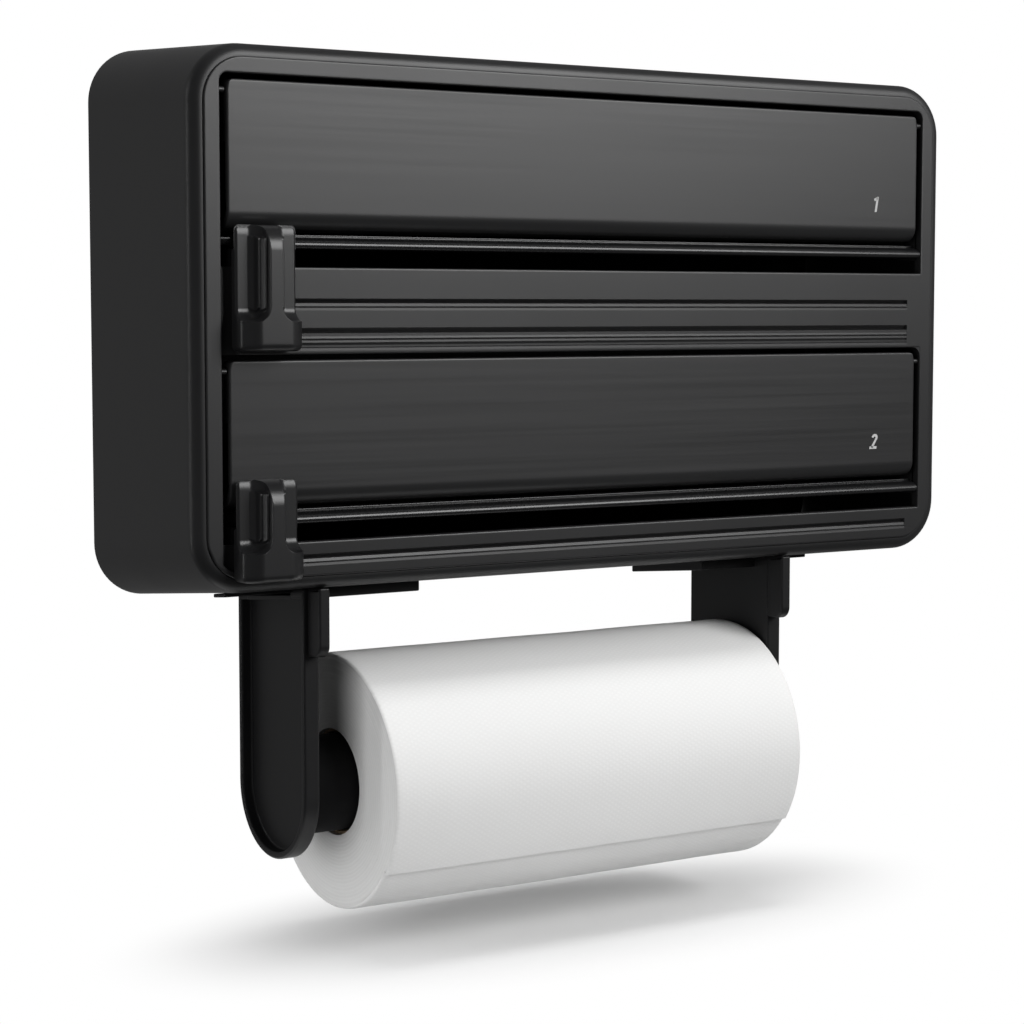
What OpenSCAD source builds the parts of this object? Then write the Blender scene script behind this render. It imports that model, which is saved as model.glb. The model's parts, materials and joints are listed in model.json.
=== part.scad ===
// Wall-mounted triple roll holder. A flared housing holds two drop-front bays,
// one for cling film and one for foil, each with a cutter that slides along the
// slot below its door. Two sliding arms under the housing carry a kitchen roll.
// Frame: +X right, +Y into the wall, +Z up. The wall is the plane y = 0 and
// z = 0 is the middle height of the front.

/* [Body] */
// Width of the housing
body_w = 380; // [372:1:400]
// Height of the housing at its front
body_h = 211.5; // [206:0.5:226]
// Depth from the wall to the front of the frame
body_d = 96; // [92:1:108]
// How much higher the top is at the wall than at the front
flare_top = 5; // [2:0.5:8]
// How much lower the underside is at the wall than at the front
flare_bottom = 9; // [5:0.5:11]
// Radius of the four outline corners
corner_r = 27; // [22:1:32]
// Radius of the rounded front rim
rim_r = 5; // [4:0.5:6]
// Wall thickness of the housing
wall = 2.5; // [2:0.1:3]
// Thickness of the back plate
back_t = 3; // [2.5:0.5:4]
// Clearance between the back plate and the housing
back_gap = 0.6; // [0.5:0.1:1]

/* [Front frame] */
// How far the frame stands in front of the housing rim
frame_proud = 0.8; // [0.4:0.1:1.4]
// Thickness of the frame plate
frame_t = 4; // [3.5:0.5:5]
// Flat edge of the rim beside the frame
rim_flat = 0.3; // [0.2:0.1:0.8]
// Clearance between the frame and the rim
frame_gap = 0.2; // [0.1:0.05:0.4]
// Thickness of the flange that sits behind the rim
flange_t = 2; // [1.5:0.5:3]
// Width of that flange inside the mouth
flange_ring = 4; // [3:0.5:5]
// Clearance between the flange and the housing wall
flange_gap = 0.5; // [0.4:0.1:1]
// Radius of the screw posts
post_r = 3.2; // [3:0.1:3.4]
// Distance of the posts from the top and bottom
post_inset = 6.4; // [6.2:0.1:6.8]
// Distance of the upper posts from the sides
upper_post_side = 40; // [36:1:60]
// Distance of the lower posts from the sides
lower_post_side = 25; // [23:1:27]
// Radius of the frame screws
frame_screw_r = 1.4; // [1.2:0.1:1.6]
// How deep the frame screws go into the posts
frame_screw_l = 12; // [8:1:20]

/* [Windows] */
// Frame width beside the windows, from the housing outline
bezel_side = 12.2; // [11.5:0.1:14]
// Frame height above the upper window
bezel_top = 11; // [11:0.1:13]
// Height of the panel between the windows
panel_h = 33.1; // [32:0.1:36]
// Height of the panel below the lower window
bezel_bottom = 19.2; // [19:0.1:22]
// Radius of the upper window corners
window_r = 3.5; // [2:0.5:5]
// Height of the dispensing slot
slot_h = 7; // [6.5:0.1:8]
// Height of the rail between slot and door
rail_h = 6.2; // [5.5:0.1:7]
// Depth of the rail from front to back
rail_d = 12; // [10:1:14]
// How far the rail lies behind the front
rail_setback = 0.3; // [0.2:0.1:1]
// Thickness of the cheeks that hold the hinge pins
cheek_t = 4; // [3:0.5:4.5]
// How far a cheek reaches round the hinge axis
cheek_r = 7; // [5:0.5:9]
// Radius of the catch nubs beside the doors
nub_r = 1.2; // [0.8:0.1:1.5]
// Clearance between nub and door
nub_gap = 0.5; // [0.4:0.1:1]
// Distance of the nubs below the top of the doors
nub_drop = 4; // [3:0.5:6]

/* [Panel grooves] */
// First groove, below the top of the middle panel
groove_1 = 12.2; // [11:0.1:14]
// Second groove, below the top of the middle panel
groove_2 = 23.9; // [22:0.1:24.5]
// Groove below the top of the lower panel
groove_3 = 5.1; // [4.5:0.1:6]
// Height of these grooves
groove_h = 1.6; // [1:0.1:2]
// Height of the fine lines below them
line_h = 0.6; // [0.4:0.1:0.8]
// Distance from one fine line to the next
line_pitch = 1.6; // [1.4:0.1:1.8]
// Gap between a groove and the first fine line
line_gap = 1.4; // [1:0.1:1.8]
// Depth of the grooves
groove_d = 1; // [0.5:0.1:1.5]
// Distance of the groove ends from the end of the window
groove_end = 7.9; // [5:0.1:12]
// Width of the recess where a cutter is parked
park_w = 7; // [6.2:0.1:9]
// Depth of that recess
park_d = 3; // [1.5:0.5:3]

/* [Doors] */
// Gap round the doors
door_gap = 3.1; // [2.5:0.1:4]
// Thickness of the door skin
door_t = 2.5; // [2:0.1:3]
// Radius of the rounded lower edge, about the hinge axis
barrel_r = 10.5; // [9.5:0.1:11]
// Gap between the rounded edge and the rail
barrel_gap = 0.4; // [0.3:0.1:0.8]
// Radius of the upper door corners
door_r = 2; // [1:0.5:3]
// Depth of the returns round the door
door_return = 7; // [5:0.5:8]
// Thickness of the end discs that hold the pins
cap_t = 3; // [2.5:0.5:4]
// Radius of the hinge pins
pin_r = 2; // [1.5:0.1:2.5]
// Radial clearance of the pins in the cheeks
pin_gap = 0.05; // [0.03:0.01:0.1]
// Radial seat of the pins in the doors
pin_seat = 0.02; // [0.01:0.01:0.03]
// Distance of a pin's end from the outside of its cheek
pin_end = 0.3; // [0.2:0.1:0.8]

/* [Cutters] */
// Width of the cutter plate
cutter_w = 26.4; // [24:0.2:30]
// How far the plate stands in front of the frame
cutter_proud = 3.4; // [3:0.1:4]
// How far the knob stands in front of the frame
knob_proud = 12.7; // [10:0.1:15]
// Width of the knob rib at its front
rib_front_w = 5.4; // [4:0.2:8]
// Width of the knob rib at the plate
rib_foot_w = 15.6; // [12:0.2:18]
// Width of the knob base at its front
base_front_w = 16.4; // [14:0.2:22]
// Height of the knob base
base_h = 11.6; // [10:0.2:13]
// How far the rib's front ends below the top of the plate
rib_top = 7; // [5:0.2:9]
// Gap between a parked cutter and the end of the window
cutter_park = 4.1; // [3:0.1:8]
// Height of the film cutter above the bottom of its window
film_cutter_rise = 15.9; // [11:0.1:16]
// Height of the foil cutter above the bottom of its window
foil_cutter_rise = 25.4; // [18:0.1:25.5]
// Gap between the film cutter and the window below it
film_cutter_foot = 0.6; // [0.4:0.1:2]
// Height of the foil cutter's foot above the bottom of the housing
foil_cutter_foot = 5; // [4:0.1:7]
// Running gap of the cutters
cutter_gap = 0.4; // [0.3:0.05:0.6]
// Space left behind the upper part of the plate for the door
door_relief = 2.4; // [1.5:0.1:2.5]
// Width of the stem in the slot
stem_w = 16; // [12:1:20]
// Thickness of the blade
blade_t = 0.6; // [0.4:0.1:1]
// How far the blade reaches past the stem
blade_reach = 4; // [3:0.5:5]
// Thickness of the shoe behind the frame
shoe_t = 3.6; // [3:0.2:4.4]
// How far the shoe reaches below the slot
shoe_drop = 6.5; // [6:0.5:8]
// Width of the shoe
shoe_w = 24; // [20:1:26]
// Radius of the cutter screw
cutter_screw_r = 1.4; // [1.2:0.1:1.6]
// How deep that screw goes into the knob
cutter_screw_l = 11; // [8:0.5:12]

/* [Trays] */
// Distance of the tray ends from the ends of the window
tray_inset = 10.8; // [9:0.1:14]
// Sheet thickness of the trays
tray_t = 2; // [1.6:0.1:2.4]
// Gap between the tray floor and the door's rounded edge
tray_gap = 0.9; // [0.6:0.1:1.5]
// Height of the tray ends above the floor
tray_end_h = 34; // [25:1:40]
// Gap between the rear wall of a tray and the top of its window
tray_top_gap = 4.5; // [3.5:0.5:8]
// Distance of the tray screws from the middle
tray_screw_x = 100; // [80:1:125]
// Radius of the access holes in front of the wall screws
access_r = 6; // [5:0.5:8]

/* [Wall fixing] */
// Distance between the wall holes from side to side
wall_hole_x = 280; // [260:1:300]
// Distance between the wall holes in height
wall_hole_z = 100; // [95:1:106]
// Radius of the wall holes
wall_hole_r = 2.5; // [2:0.1:3]

/* [Paper arms] */
// Distance of the roll axis from the wall
arm_y = 56; // [55:0.5:60]
// Distance of the roll axis below the front of the housing
roll_drop = 86; // [78:0.2:92]
// Place of the inner face of the left arm
left_arm_in = -130.5; // [-131:0.5:-126]
// Place of the inner face of the right arm
right_arm_in = 99; // [97:0.5:106]
// Thickness of the arms
arm_t = 7; // [6:0.5:8]
// Radius of the rounded lower end
arm_r = 28.9; // [26:0.1:31]
// Width of the raised edge
arm_rim = 2; // [1.5:0.1:3]
// Thickness of the arm's sheet inside the raised edge
arm_web = 2.4; // [2:0.1:3]
// Distance of the arm's front shoulder from the front of the housing
shoulder_back = 1.5; // [1:0.5:6]
// Height of the shoulder below the front of the housing
shoulder_h = 28; // [20:0.5:30]
// Thickness of the shoulder
shoulder_t = 5; // [4:0.1:5.8]
// Radius of the shoulder's lower corner
shoulder_r = 5; // [3:0.5:7]
// Length of a hub inside the core
hub_in = 11; // [9:0.5:13]
// Length of the right hub
right_hub_l = 28; // [20:1:36]
// Wall thickness of the hubs
hub_wall = 2.5; // [2:0.1:3.5]
// Length of the tapered end of a hub
hub_taper = 6; // [4:0.5:7]
// Radial clearance of the hubs in the core
hub_gap = 0.8; // [0.6:0.05:0.95]
// Radius of the peg that seats a hub in its arm
peg_r = 8; // [6:0.5:10]
// Depth of that seat
peg_h = 1.2; // [0.8:0.1:1.4]

/* [Slide plates] */
// Thickness of the slide plates
plate_t = 4.3; // [3.5:0.1:5]
// Thickness of their thin outer ends
plate_thin = 1.5; // [1:0.1:2]
// Reach of the plates in front of the roll axis
plate_front = 19; // [16:0.5:22]
// Reach of the left plate behind the roll axis
left_plate_rear = 21; // [16:0.5:24]
// Reach of the right plate behind the roll axis
right_plate_rear = 35; // [16:0.5:38]
// Depth of the thin outer ends, from the front of the plates
thin_d = 11; // [8:0.5:16]
// Length of the left plate inside its arm
left_plate_in = 53; // [48:1:60]
// Distance of the left plate's thin end from the side of the housing
left_plate_side = 18; // [17:1:30]
// Length of the right plate inside its arm
right_plate_in = 30; // [28:1:80]
// Length of the right plate's thin end
right_plate_out = 23; // [12:1:30]
// Running gap of the slides
slide_gap = 0.3; // [0.2:0.05:0.5]
// Length of the necks that pass through the underside
neck_l = 34; // [34:1:44]
// Width of the necks
neck_w = 20; // [16:0.5:22]
// Travel of the right arm
right_travel = 30; // [20:1:32]
// Travel of the left arm past the end of the core
left_clear = 5; // [3:0.5:6]
// Thickness of the slide shoes
slide_shoe_t = 3; // [2.5:0.1:3.5]
// How far a slide shoe laps over the slot
slide_lap = 4.6; // [4:0.1:5]
// Floor thickness of the arm rail
rail_floor = 2; // [1.6:0.1:2.4]
// Wall thickness of the arm rail
rail_wall = 3; // [2:0.5:4]
// Height of the arm rail's walls above its floor
rail_wall_h = 4; // [3:0.5:5]
// Length of the arm rail past the end of a slide
rail_past = 2; // [1:0.5:6]
// Distance of the rail's screws from the slide shoes
rail_screw_gap = 8; // [5:0.5:16]
// Radius of the small screws
screw_r = 1.5; // [1.2:0.1:1.6]
// Clearance of the screws in their holes
screw_gap = 0.05; // [0.03:0.01:0.1]

/* [Kitchen roll] */
// Diameter of the roll
roll_d = 110; // [100:0.5:110]
// Length of the roll
roll_l = 207; // [196:1:224]
// Gap between the roll and the right arm
roll_gap = 0.9; // [0.5:0.1:2]
// Bore of the cardboard core
core_bore_d = 42; // [38:0.5:44]
// Thickness of the core
core_t = 1.2; // [0.8:0.1:2]
// How far the core ends lie inside the roll ends
core_end = 0.5; // [0.3:0.1:1]
// Step at the loose end of the paper
sheet_step = 1.2; // [0.6:0.1:1.6]
// Angle of the loose end below the front of the roll
tail_angle = 35; // [20:1:70]

/* [Hidden] */
$fn = 64;
eps = 0.01;
far = 600;
z_top = body_h / 2;
front_y = -body_d;
rim_front = -(body_d - frame_proud);
rim_y = rim_front + rim_r;
shoulder_y = front_y + frame_t;
mouth_inset = rim_r + rim_flat;
window_w = body_w - 2 * bezel_side;
window_h = (body_h - bezel_top - panel_h - bezel_bottom) / 2;
bay_pitch = window_h + panel_h;
FILM = 0;
FOIL = 1;
hinge_y = front_y + barrel_r;
rail_rear = front_y + rail_d;
door_w = window_w - 2 * door_gap;
tray_w = window_w - 2 * tray_inset;
tray_rear = -back_t - tray_t;
upper_post_x = body_w / 2 - upper_post_side;
lower_post_x = body_w / 2 - lower_post_side;
post_z = z_top - post_inset;
fine_lines = 3;
cutter_x = -(window_w / 2 - cutter_park - cutter_w / 2);
film_cutter_drop = panel_h - film_cutter_foot;
foil_cutter_drop = bezel_bottom - foil_cutter_foot;
plate_r = 2;
head_r = 2 * cutter_screw_r;
head_h = 1.6;
countersink_r = 2 * frame_screw_r;
under_tilt = atan(flare_bottom / -rim_y);
wall_u = wall * cos(under_tilt);
roll_r = roll_d / 2;
core_r = core_bore_d / 2;
paper_gap = 0.05;
hub_r = core_r - hub_gap;
hub_tip_r = hub_r - hub_wall;
peg_gap = 0.05;
roll_x1 = right_arm_in - roll_gap;
roll_x0 = roll_x1 - roll_l;
roll_z = -z_top - roll_drop;
left_hub_l = roll_x0 - left_arm_in + hub_in;
left_travel = hub_in + left_clear;
left_plate_out = body_w / 2 - left_plate_side + left_arm_in - arm_t;
left_neck_x = left_arm_in - neck_place(left_plate_in);
right_neck_x = right_arm_in + neck_place(right_plate_in);
slot_gap = 0.5;
slide_shoe_l = neck_l + 2 * slide_lap;
slide_shoe_w = neck_w + 2 * slide_lap;
rail_x0 = left_neck_x - slide_shoe_l / 2 - left_travel - rail_past;
rail_x1 = right_neck_x + slide_shoe_l / 2 + right_travel + rail_past;
shoe_floor = wall_u + rail_floor + slide_gap;
tail_points = 180;
barrel_start_angle = 180;
barrel_end_angle = 330;
barrel_steps = 30;
corner_steps = 6;

// Heights of one bay, from its window down to its slot
function win_top(bay) = z_top - bezel_top - bay * bay_pitch;
function win_bot(bay) = win_top(bay) - window_h;
function slot_top(bay) = win_bot(bay) + slot_h;
function slot_mid(bay) = win_bot(bay) + slot_h / 2;
function rail_top(bay) = slot_top(bay) + rail_h;
function hinge_z(bay) = rail_top(bay) + barrel_gap + barrel_r;
function door_top(bay) = win_top(bay) - door_gap;
function floor_top(bay) = rail_top(bay) + barrel_gap - tray_gap;
function tray_top(bay) = win_top(bay) - tray_top_gap;
function tray_screw_z(bay) = (floor_top(bay) + tray_top(bay)) / 2;
function wall_hole_side(bay) = bay == FILM ? 1 : -1;
// Middle of a neck under the thick part of its plate, from the arm's inner face
function neck_place(plate_in) = (arm_t - plate_in) / 2;
// Height of the sloping underside at a distance from the wall
function under_z(y) = -z_top - flare_bottom * (y - rim_y) / -rim_y;
// Radius of the wound paper, one turn from the loose end
function wound_r(turn) = roll_r - sheet_step + sheet_step * turn;

// Carries a drawing of (y, z) along X
module along_x(x0, x1) {
    translate([x0, 0, 0])
        rotate([90, 0, 90])
            linear_extrude(x1 - x0)
                children();
}

// Carries a drawing of (x, z) along Y
module along_y(y0, y1) {
    translate([0, y1, 0])
        rotate([90, 0, 0])
            linear_extrude(y1 - y0)
                children();
}

// Box from its lowest to its highest corner
module box(low, high) {
    translate(low)
        cube(high - low);
}

// Cylinder along Y
module bore_y(x, z, r, y0, y1) {
    translate([x, y0, z])
        rotate([-90, 0, 0])
            cylinder(r = r, h = y1 - y0);
}

// Cylinder along X
module bore_x(y, z, r, x0, x1) {
    translate([x0, y, z])
        rotate([0, 90, 0])
            cylinder(r = r, h = x1 - x0);
}

// Rectangle from its lowest to its highest corner, with round corners
module round_rect(low, high, r) {
    translate([low[0] + r, low[1]])
        square([high[0] - low[0] - 2 * r, high[1] - low[1]]);
    translate([low[0], low[1] + r])
        square([high[0] - low[0], high[1] - low[1] - 2 * r]);
    for (x = [low[0] + r, high[0] - r], z = [low[1] + r, high[1] - r])
        translate([x, z])
            circle(r);
}

// The housing's outline drawn in by an inset, taller where it flares
module outline(inset, up, down) {
    round_rect([-body_w / 2 + inset, -z_top - down + inset],
               [body_w / 2 - inset, z_top + up - inset],
               corner_r - inset);
}

// Thin slice of that outline, ending at y
module slice(y, inset, up, down) {
    along_y(y - eps, y)
        outline(inset, up, down, $fn = 48);
}

// Slots in the underside in which the necks of the slides travel
module neck_slots(low, high) {
    x_left = left_neck_x - neck_l / 2;
    x_right = right_neck_x - neck_l / 2;
    side = neck_w / 2 + slot_gap;
    under() {
        box([x_left - left_travel - slot_gap, -side, low],
            [x_left + neck_l + slot_gap, side, high]);
        box([x_right - slot_gap, -side, low],
            [x_right + neck_l + right_travel + slot_gap, side, high]);
    }
}

// Frame on the sloping underside, below the roll axis: its z = 0 is the outside
module under() {
    translate([0, -arm_y, under_z(-arm_y)])
        rotate([-under_tilt, 0, 0])
            children();
}

// Places of the screws that hold the arm rail, between the two slide shoes
module rail_screw_places() {
    x_left = left_neck_x + slide_shoe_l / 2 + rail_screw_gap;
    x_right = right_neck_x - slide_shoe_l / 2 - rail_screw_gap;
    for (x = [x_left, (x_left + x_right) / 2, x_right])
        translate([x, 0, 0])
            children();
}

module housing_shell() {
    color([0.16, 0.16, 0.17])
    difference() {
        hull() {
            slice(0, 0, flare_top, flare_bottom);
            slice(rim_y, 0, 0, 0);
            for (a = [18:18:90])
                slice(rim_y - rim_r * sin(a) + eps, rim_r * (1 - cos(a)), 0, 0);
        }
        hull() {
            slice(1, wall, flare_top, flare_bottom);
            slice(eps, wall, flare_top, flare_bottom);
            slice(rim_y, wall, 0, 0);
            slice(shoulder_y + eps, wall, 0, 0);
        }
        along_y(front_y - 1, shoulder_y + 1)
            outline(mouth_inset, 0, 0);
        neck_slots(-wall, 2 * wall);
        under()
            rail_screw_places()
                translate([0, 0, wall_u / 4])
                    cylinder(r = screw_r + screw_gap, h = wall);
    }
}

module back_plate() {
    color([0.13, 0.13, 0.14])
    difference() {
        along_y(-back_t, 0)
            outline(wall + back_gap, flare_top, flare_bottom);
        for (x = [-1, 1], z = [-1, 1])
            bore_y(x * wall_hole_x / 2, z * wall_hole_z / 2, wall_hole_r, -back_t - 1, 1);
        for (x = [-1, 1]) {
            frame_screw_hole(x * upper_post_x, post_z);
            frame_screw_hole(x * lower_post_x, -post_z);
            for (bay = [FILM, FOIL])
                bore_y(x * tray_screw_x, tray_screw_z(bay), screw_r + screw_gap, -back_t - 1, -back_t / 4);
        }
    }
}

// Countersunk hole for one frame screw
module frame_screw_hole(x, z) {
    bore_y(x, z, frame_screw_r + screw_gap, -back_t - 1, 1);
    translate([x, 0, z])
        rotate([90, 0, 0])
            cylinder(r1 = countersink_r + screw_gap, r2 = frame_screw_r + screw_gap,
                     h = countersink_r - frame_screw_r);
}

module frame_screws() {
    color([0.72, 0.72, 0.74])
    for (x = [-1, 1], place = [[upper_post_x, post_z], [lower_post_x, -post_z]])
        translate([x * place[0], 0, place[1]])
            rotate([90, 0, 0]) {
                cylinder(r1 = countersink_r, r2 = frame_screw_r, h = countersink_r - frame_screw_r);
                cylinder(r = frame_screw_r, h = back_t + frame_screw_l);
            }
}

// One window: round upper corners, square lower ends
module window(bay) {
    round_rect([-window_w / 2, win_bot(bay)], [window_w / 2, win_top(bay)], window_r);
    translate([-window_w / 2, win_bot(bay)])
        square([window_w, window_h / 2]);
}

// One groove across a panel, below the given height
module groove(top, h) {
    box([-window_w / 2, front_y - 1, top - h],
        [window_w / 2 - groove_end, front_y + groove_d, top]);
}

// A groove with its fine lines
module groove_set(top, lines) {
    groove(top, groove_h);
    for (i = [0:lines - 1])
        groove(top - groove_h - line_gap - i * line_pitch, line_h);
}

// Recess at the left end of a panel, in which a cutter is parked
module park_recess(top, h) {
    box([-window_w / 2, front_y - 1, top - h],
        [-window_w / 2 + park_w, front_y + park_d, top + 1]);
}

module front_frame() {
    color([0.2, 0.2, 0.21])
    difference() {
        union() {
            along_y(front_y, shoulder_y)
                outline(mouth_inset + frame_gap, 0, 0);
            along_y(shoulder_y, shoulder_y + flange_t)
                difference() {
                    outline(wall + flange_gap, 0, 0);
                    outline(mouth_inset + flange_ring, 0, 0);
                }
            for (x = [-1, 1]) {
                bore_y(x * upper_post_x, post_z, post_r, shoulder_y + flange_t / 2, -back_t);
                bore_y(x * lower_post_x, -post_z, post_r, shoulder_y + flange_t / 2, -back_t);
            }
            for (bay = [FILM, FOIL])
                cheeks(bay);
        }
        along_y(front_y - 1, shoulder_y + eps)
            window(FILM);
        along_y(front_y - 1, shoulder_y + eps)
            window(FOIL);
        for (bay = [FILM, FOIL])
            bore_x(hinge_y, hinge_z(bay), pin_r + pin_gap, -body_w / 2, body_w / 2);
        groove_set(win_bot(FILM) - groove_1, 1);
        groove_set(win_bot(FILM) - groove_2, fine_lines);
        groove_set(win_bot(FOIL) - groove_3, 1);
        park_recess(win_bot(FILM), panel_h);
        park_recess(win_bot(FOIL), foil_cutter_drop);
        for (x = [-1, 1], place = [[upper_post_x, post_z], [lower_post_x, -post_z]])
            bore_y(x * place[0], place[1], frame_screw_r + screw_gap, -back_t - frame_screw_l - 1, 1);
    }
    color([0.2, 0.2, 0.21])
    for (bay = [FILM, FOIL], x = [-1, 1])
        bore_x(front_y + nub_r + 1, door_top(bay) - nub_drop, nub_r,
               x < 0 ? -window_w / 2 - 1 : window_w / 2 - door_gap + nub_gap,
               x < 0 ? -window_w / 2 + door_gap - nub_gap : window_w / 2 + 1);
}

// Plates beside a bay, bored for the hinge pins
module cheeks(bay) {
    for (x = [-window_w / 2 - cheek_t, window_w / 2])
        box([x, shoulder_y - 1, slot_top(bay) - 1],
            [x + cheek_t, hinge_y + cheek_r, hinge_z(bay) + cheek_r]);
}

// Open tray behind a door: floor, rear wall and two ends
module tray(bay) {
    color([0.14, 0.14, 0.15])
    difference() {
        union() {
            box([-tray_w / 2, rail_rear, floor_top(bay) - tray_t],
                [tray_w / 2, -back_t, floor_top(bay)]);
            box([-tray_w / 2, tray_rear, floor_top(bay) - tray_t],
                [tray_w / 2, -back_t, tray_top(bay)]);
            for (x = [-tray_w / 2, tray_w / 2 - tray_t])
                box([x, hinge_y + barrel_r + 1, floor_top(bay) - tray_t],
                    [x + tray_t, -back_t, floor_top(bay) + tray_end_h]);
        }
        for (x = [-1, 1]) {
            bore_y(x * wall_hole_x / 2, wall_hole_side(bay) * wall_hole_z / 2, access_r, tray_rear - 1, 0);
            bore_y(x * tray_screw_x, tray_screw_z(bay), screw_r + screw_gap, tray_rear - 1, 0);
        }
    }
}

// Screws that hold a tray to the back plate
module tray_screws(bay) {
    color([0.72, 0.72, 0.74])
    for (x = [-1, 1]) {
        bore_y(x * tray_screw_x, tray_screw_z(bay), 2 * screw_r, tray_rear - head_h, tray_rear);
        bore_y(x * tray_screw_x, tray_screw_z(bay), screw_r, tray_rear - eps, -back_t / 3);
    }
}

// Rail with a round nose between a door and its slot
module rail(bay) {
    nose_y = front_y + rail_setback + rail_h / 2;
    color([0.12, 0.12, 0.13])
    along_x(-window_w / 2, window_w / 2) {
        translate([nose_y, slot_top(bay)])
            square([rail_rear - nose_y, rail_h]);
        translate([nose_y, slot_top(bay) + rail_h / 2])
            circle(rail_h / 2);
    }
}

// Drop-front door: a skin whose lower edge is rounded about the hinge, with
// returns at the top and sides and an end disc round each pin
module door(bay) {
    axis_z = hinge_z(bay);
    top = door_top(bay);
    half_t = door_t / 2;
    color([0.24, 0.24, 0.25])
    difference() {
        union() {
            along_x(-door_w / 2, door_w / 2)
                polygon(door_section(axis_z, top));
            for (x = [-door_w / 2, door_w / 2 - cap_t]) {
                bore_x(hinge_y, axis_z, barrel_r - half_t, x, x + cap_t);
                box([x, front_y + half_t, axis_z],
                    [x + cap_t, front_y + door_return - half_t, top - half_t]);
            }
        }
        bore_x(hinge_y, axis_z, pin_r + pin_seat, -door_w, door_w);
        for (side = [-1, 1])
            along_y(front_y - 1, hinge_y)
                polygon(corner_cut(side * door_w / 2, top, -side));
    }
}

// Points of an arc in (y, z) about the hinge axis
function hinge_arc(axis_z, r, a0, a1) =
    [for (i = [0:barrel_steps])
        let (a = a0 + (a1 - a0) * i / barrel_steps)
        [hinge_y + r * cos(a), axis_z + r * sin(a)]];

// Section of a door in (y, z): front face, rounded edge, inside and top return
function door_section(axis_z, top) = concat(
    [[front_y, top]],
    hinge_arc(axis_z, barrel_r, barrel_start_angle, barrel_end_angle),
    hinge_arc(axis_z, barrel_r - door_t, barrel_end_angle, barrel_start_angle),
    [[front_y + door_t, top - door_t],
     [front_y + door_return, top - door_t],
     [front_y + door_return, top]]);

// What a round upper corner leaves off, in (x, z); side points into the door
function corner_cut(x, top, side) = concat(
    [[x - side, top + 1], [x - side, top - door_r]],
    [for (i = [0:corner_steps])
        let (a = 90 * i / corner_steps)
        [x + side * door_r * (1 - cos(a)), top - door_r * (1 - sin(a))]],
    [[x + side * door_r, top + 1]]);

module door_pins(bay) {
    x_in = door_w / 2 - cap_t;
    x_out = window_w / 2 + cheek_t - pin_end;
    color([0.72, 0.72, 0.74]) {
        bore_x(hinge_y, hinge_z(bay), pin_r, x_in, x_out);
        bore_x(hinge_y, hinge_z(bay), pin_r, -x_out, -x_in);
    }
}

// Slab of the knob: a width and two heights at a distance before the frame
module knob_slab(proud, w, low, high) {
    box([cutter_x - w / 2, front_y - proud, low],
        [cutter_x + w / 2, front_y - proud + eps, high]);
}

// Cutter grip: plate, knob with rib and base, and the stem in the slot
module grip(bay, drop, rise) {
    low = win_bot(bay) - drop;
    high = win_bot(bay) + rise;
    base_top = low + base_h;
    mid = (cutter_proud + knob_proud) / 2;
    mid_w = (rib_front_w + rib_foot_w) / 2;
    color([0.18, 0.18, 0.19])
    difference() {
        union() {
            along_y(front_y - cutter_proud, front_y - cutter_gap)
                round_rect([cutter_x - cutter_w / 2, low], [cutter_x + cutter_w / 2, high], plate_r);
            hull() {
                knob_slab(cutter_proud, rib_foot_w, low + plate_r, high - eps);
                knob_slab(mid + rib_top / 3, mid_w, low + plate_r, high - rib_top / 3);
                knob_slab(knob_proud, rib_front_w, low + plate_r, high - rib_top);
            }
            hull() {
                knob_slab(cutter_proud, cutter_w - plate_r, low + plate_r / 2, base_top + plate_r);
                knob_slab(knob_proud, base_front_w, low + plate_r, base_top - plate_r);
            }
            box([cutter_x - stem_w / 2, front_y - cutter_proud, win_bot(bay) + cutter_gap],
                [cutter_x + stem_w / 2, shoulder_y - blade_t, slot_top(bay) - cutter_gap]);
        }
        box([cutter_x - cutter_w, front_y - door_relief, slot_top(bay) - cutter_gap],
            [cutter_x + cutter_w, front_y, high + 1]);
        bore_y(cutter_x, slot_mid(bay), cutter_screw_r + screw_gap,
               shoulder_y - blade_t - cutter_screw_l - 1, shoulder_y);
    }
}

// Blade across the slot, with a slanting edge on its leading side
module blade(bay) {
    z0 = win_bot(bay) + cutter_gap;
    z1 = slot_top(bay) - cutter_gap;
    x0 = cutter_x - stem_w / 2;
    x1 = cutter_x + stem_w / 2;
    color([0.75, 0.76, 0.78])
    difference() {
        along_y(shoulder_y - blade_t, shoulder_y)
            polygon([[x0, z0], [x1, z0], [x1 + blade_reach, z1], [x0, z1]]);
        bore_y(cutter_x, slot_mid(bay), cutter_screw_r + 2 * screw_gap, front_y, 0);
    }
}

// Shoe behind the frame that keeps the cutter in its slot
module cutter_shoe(bay) {
    rear = shoulder_y + shoe_t;
    color([0.14, 0.14, 0.15])
    difference() {
        union() {
            box([cutter_x - stem_w / 2, shoulder_y, win_bot(bay) + cutter_gap],
                [cutter_x + stem_w / 2, rear, slot_top(bay) - cutter_gap]);
            box([cutter_x - shoe_w / 2, shoulder_y + cutter_gap, win_bot(bay) - shoe_drop],
                [cutter_x + shoe_w / 2, rear, slot_top(bay) - cutter_gap]);
        }
        bore_y(cutter_x, slot_mid(bay), cutter_screw_r + 2 * screw_gap, front_y, 0);
    }
}

module cutter_screw(bay) {
    rear = shoulder_y + shoe_t;
    color([0.72, 0.72, 0.74]) {
        bore_y(cutter_x, slot_mid(bay), head_r, rear, rear + head_h);
        bore_y(cutter_x, slot_mid(bay), cutter_screw_r, shoulder_y - blade_t - cutter_screw_l, rear + eps);
    }
}

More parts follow.
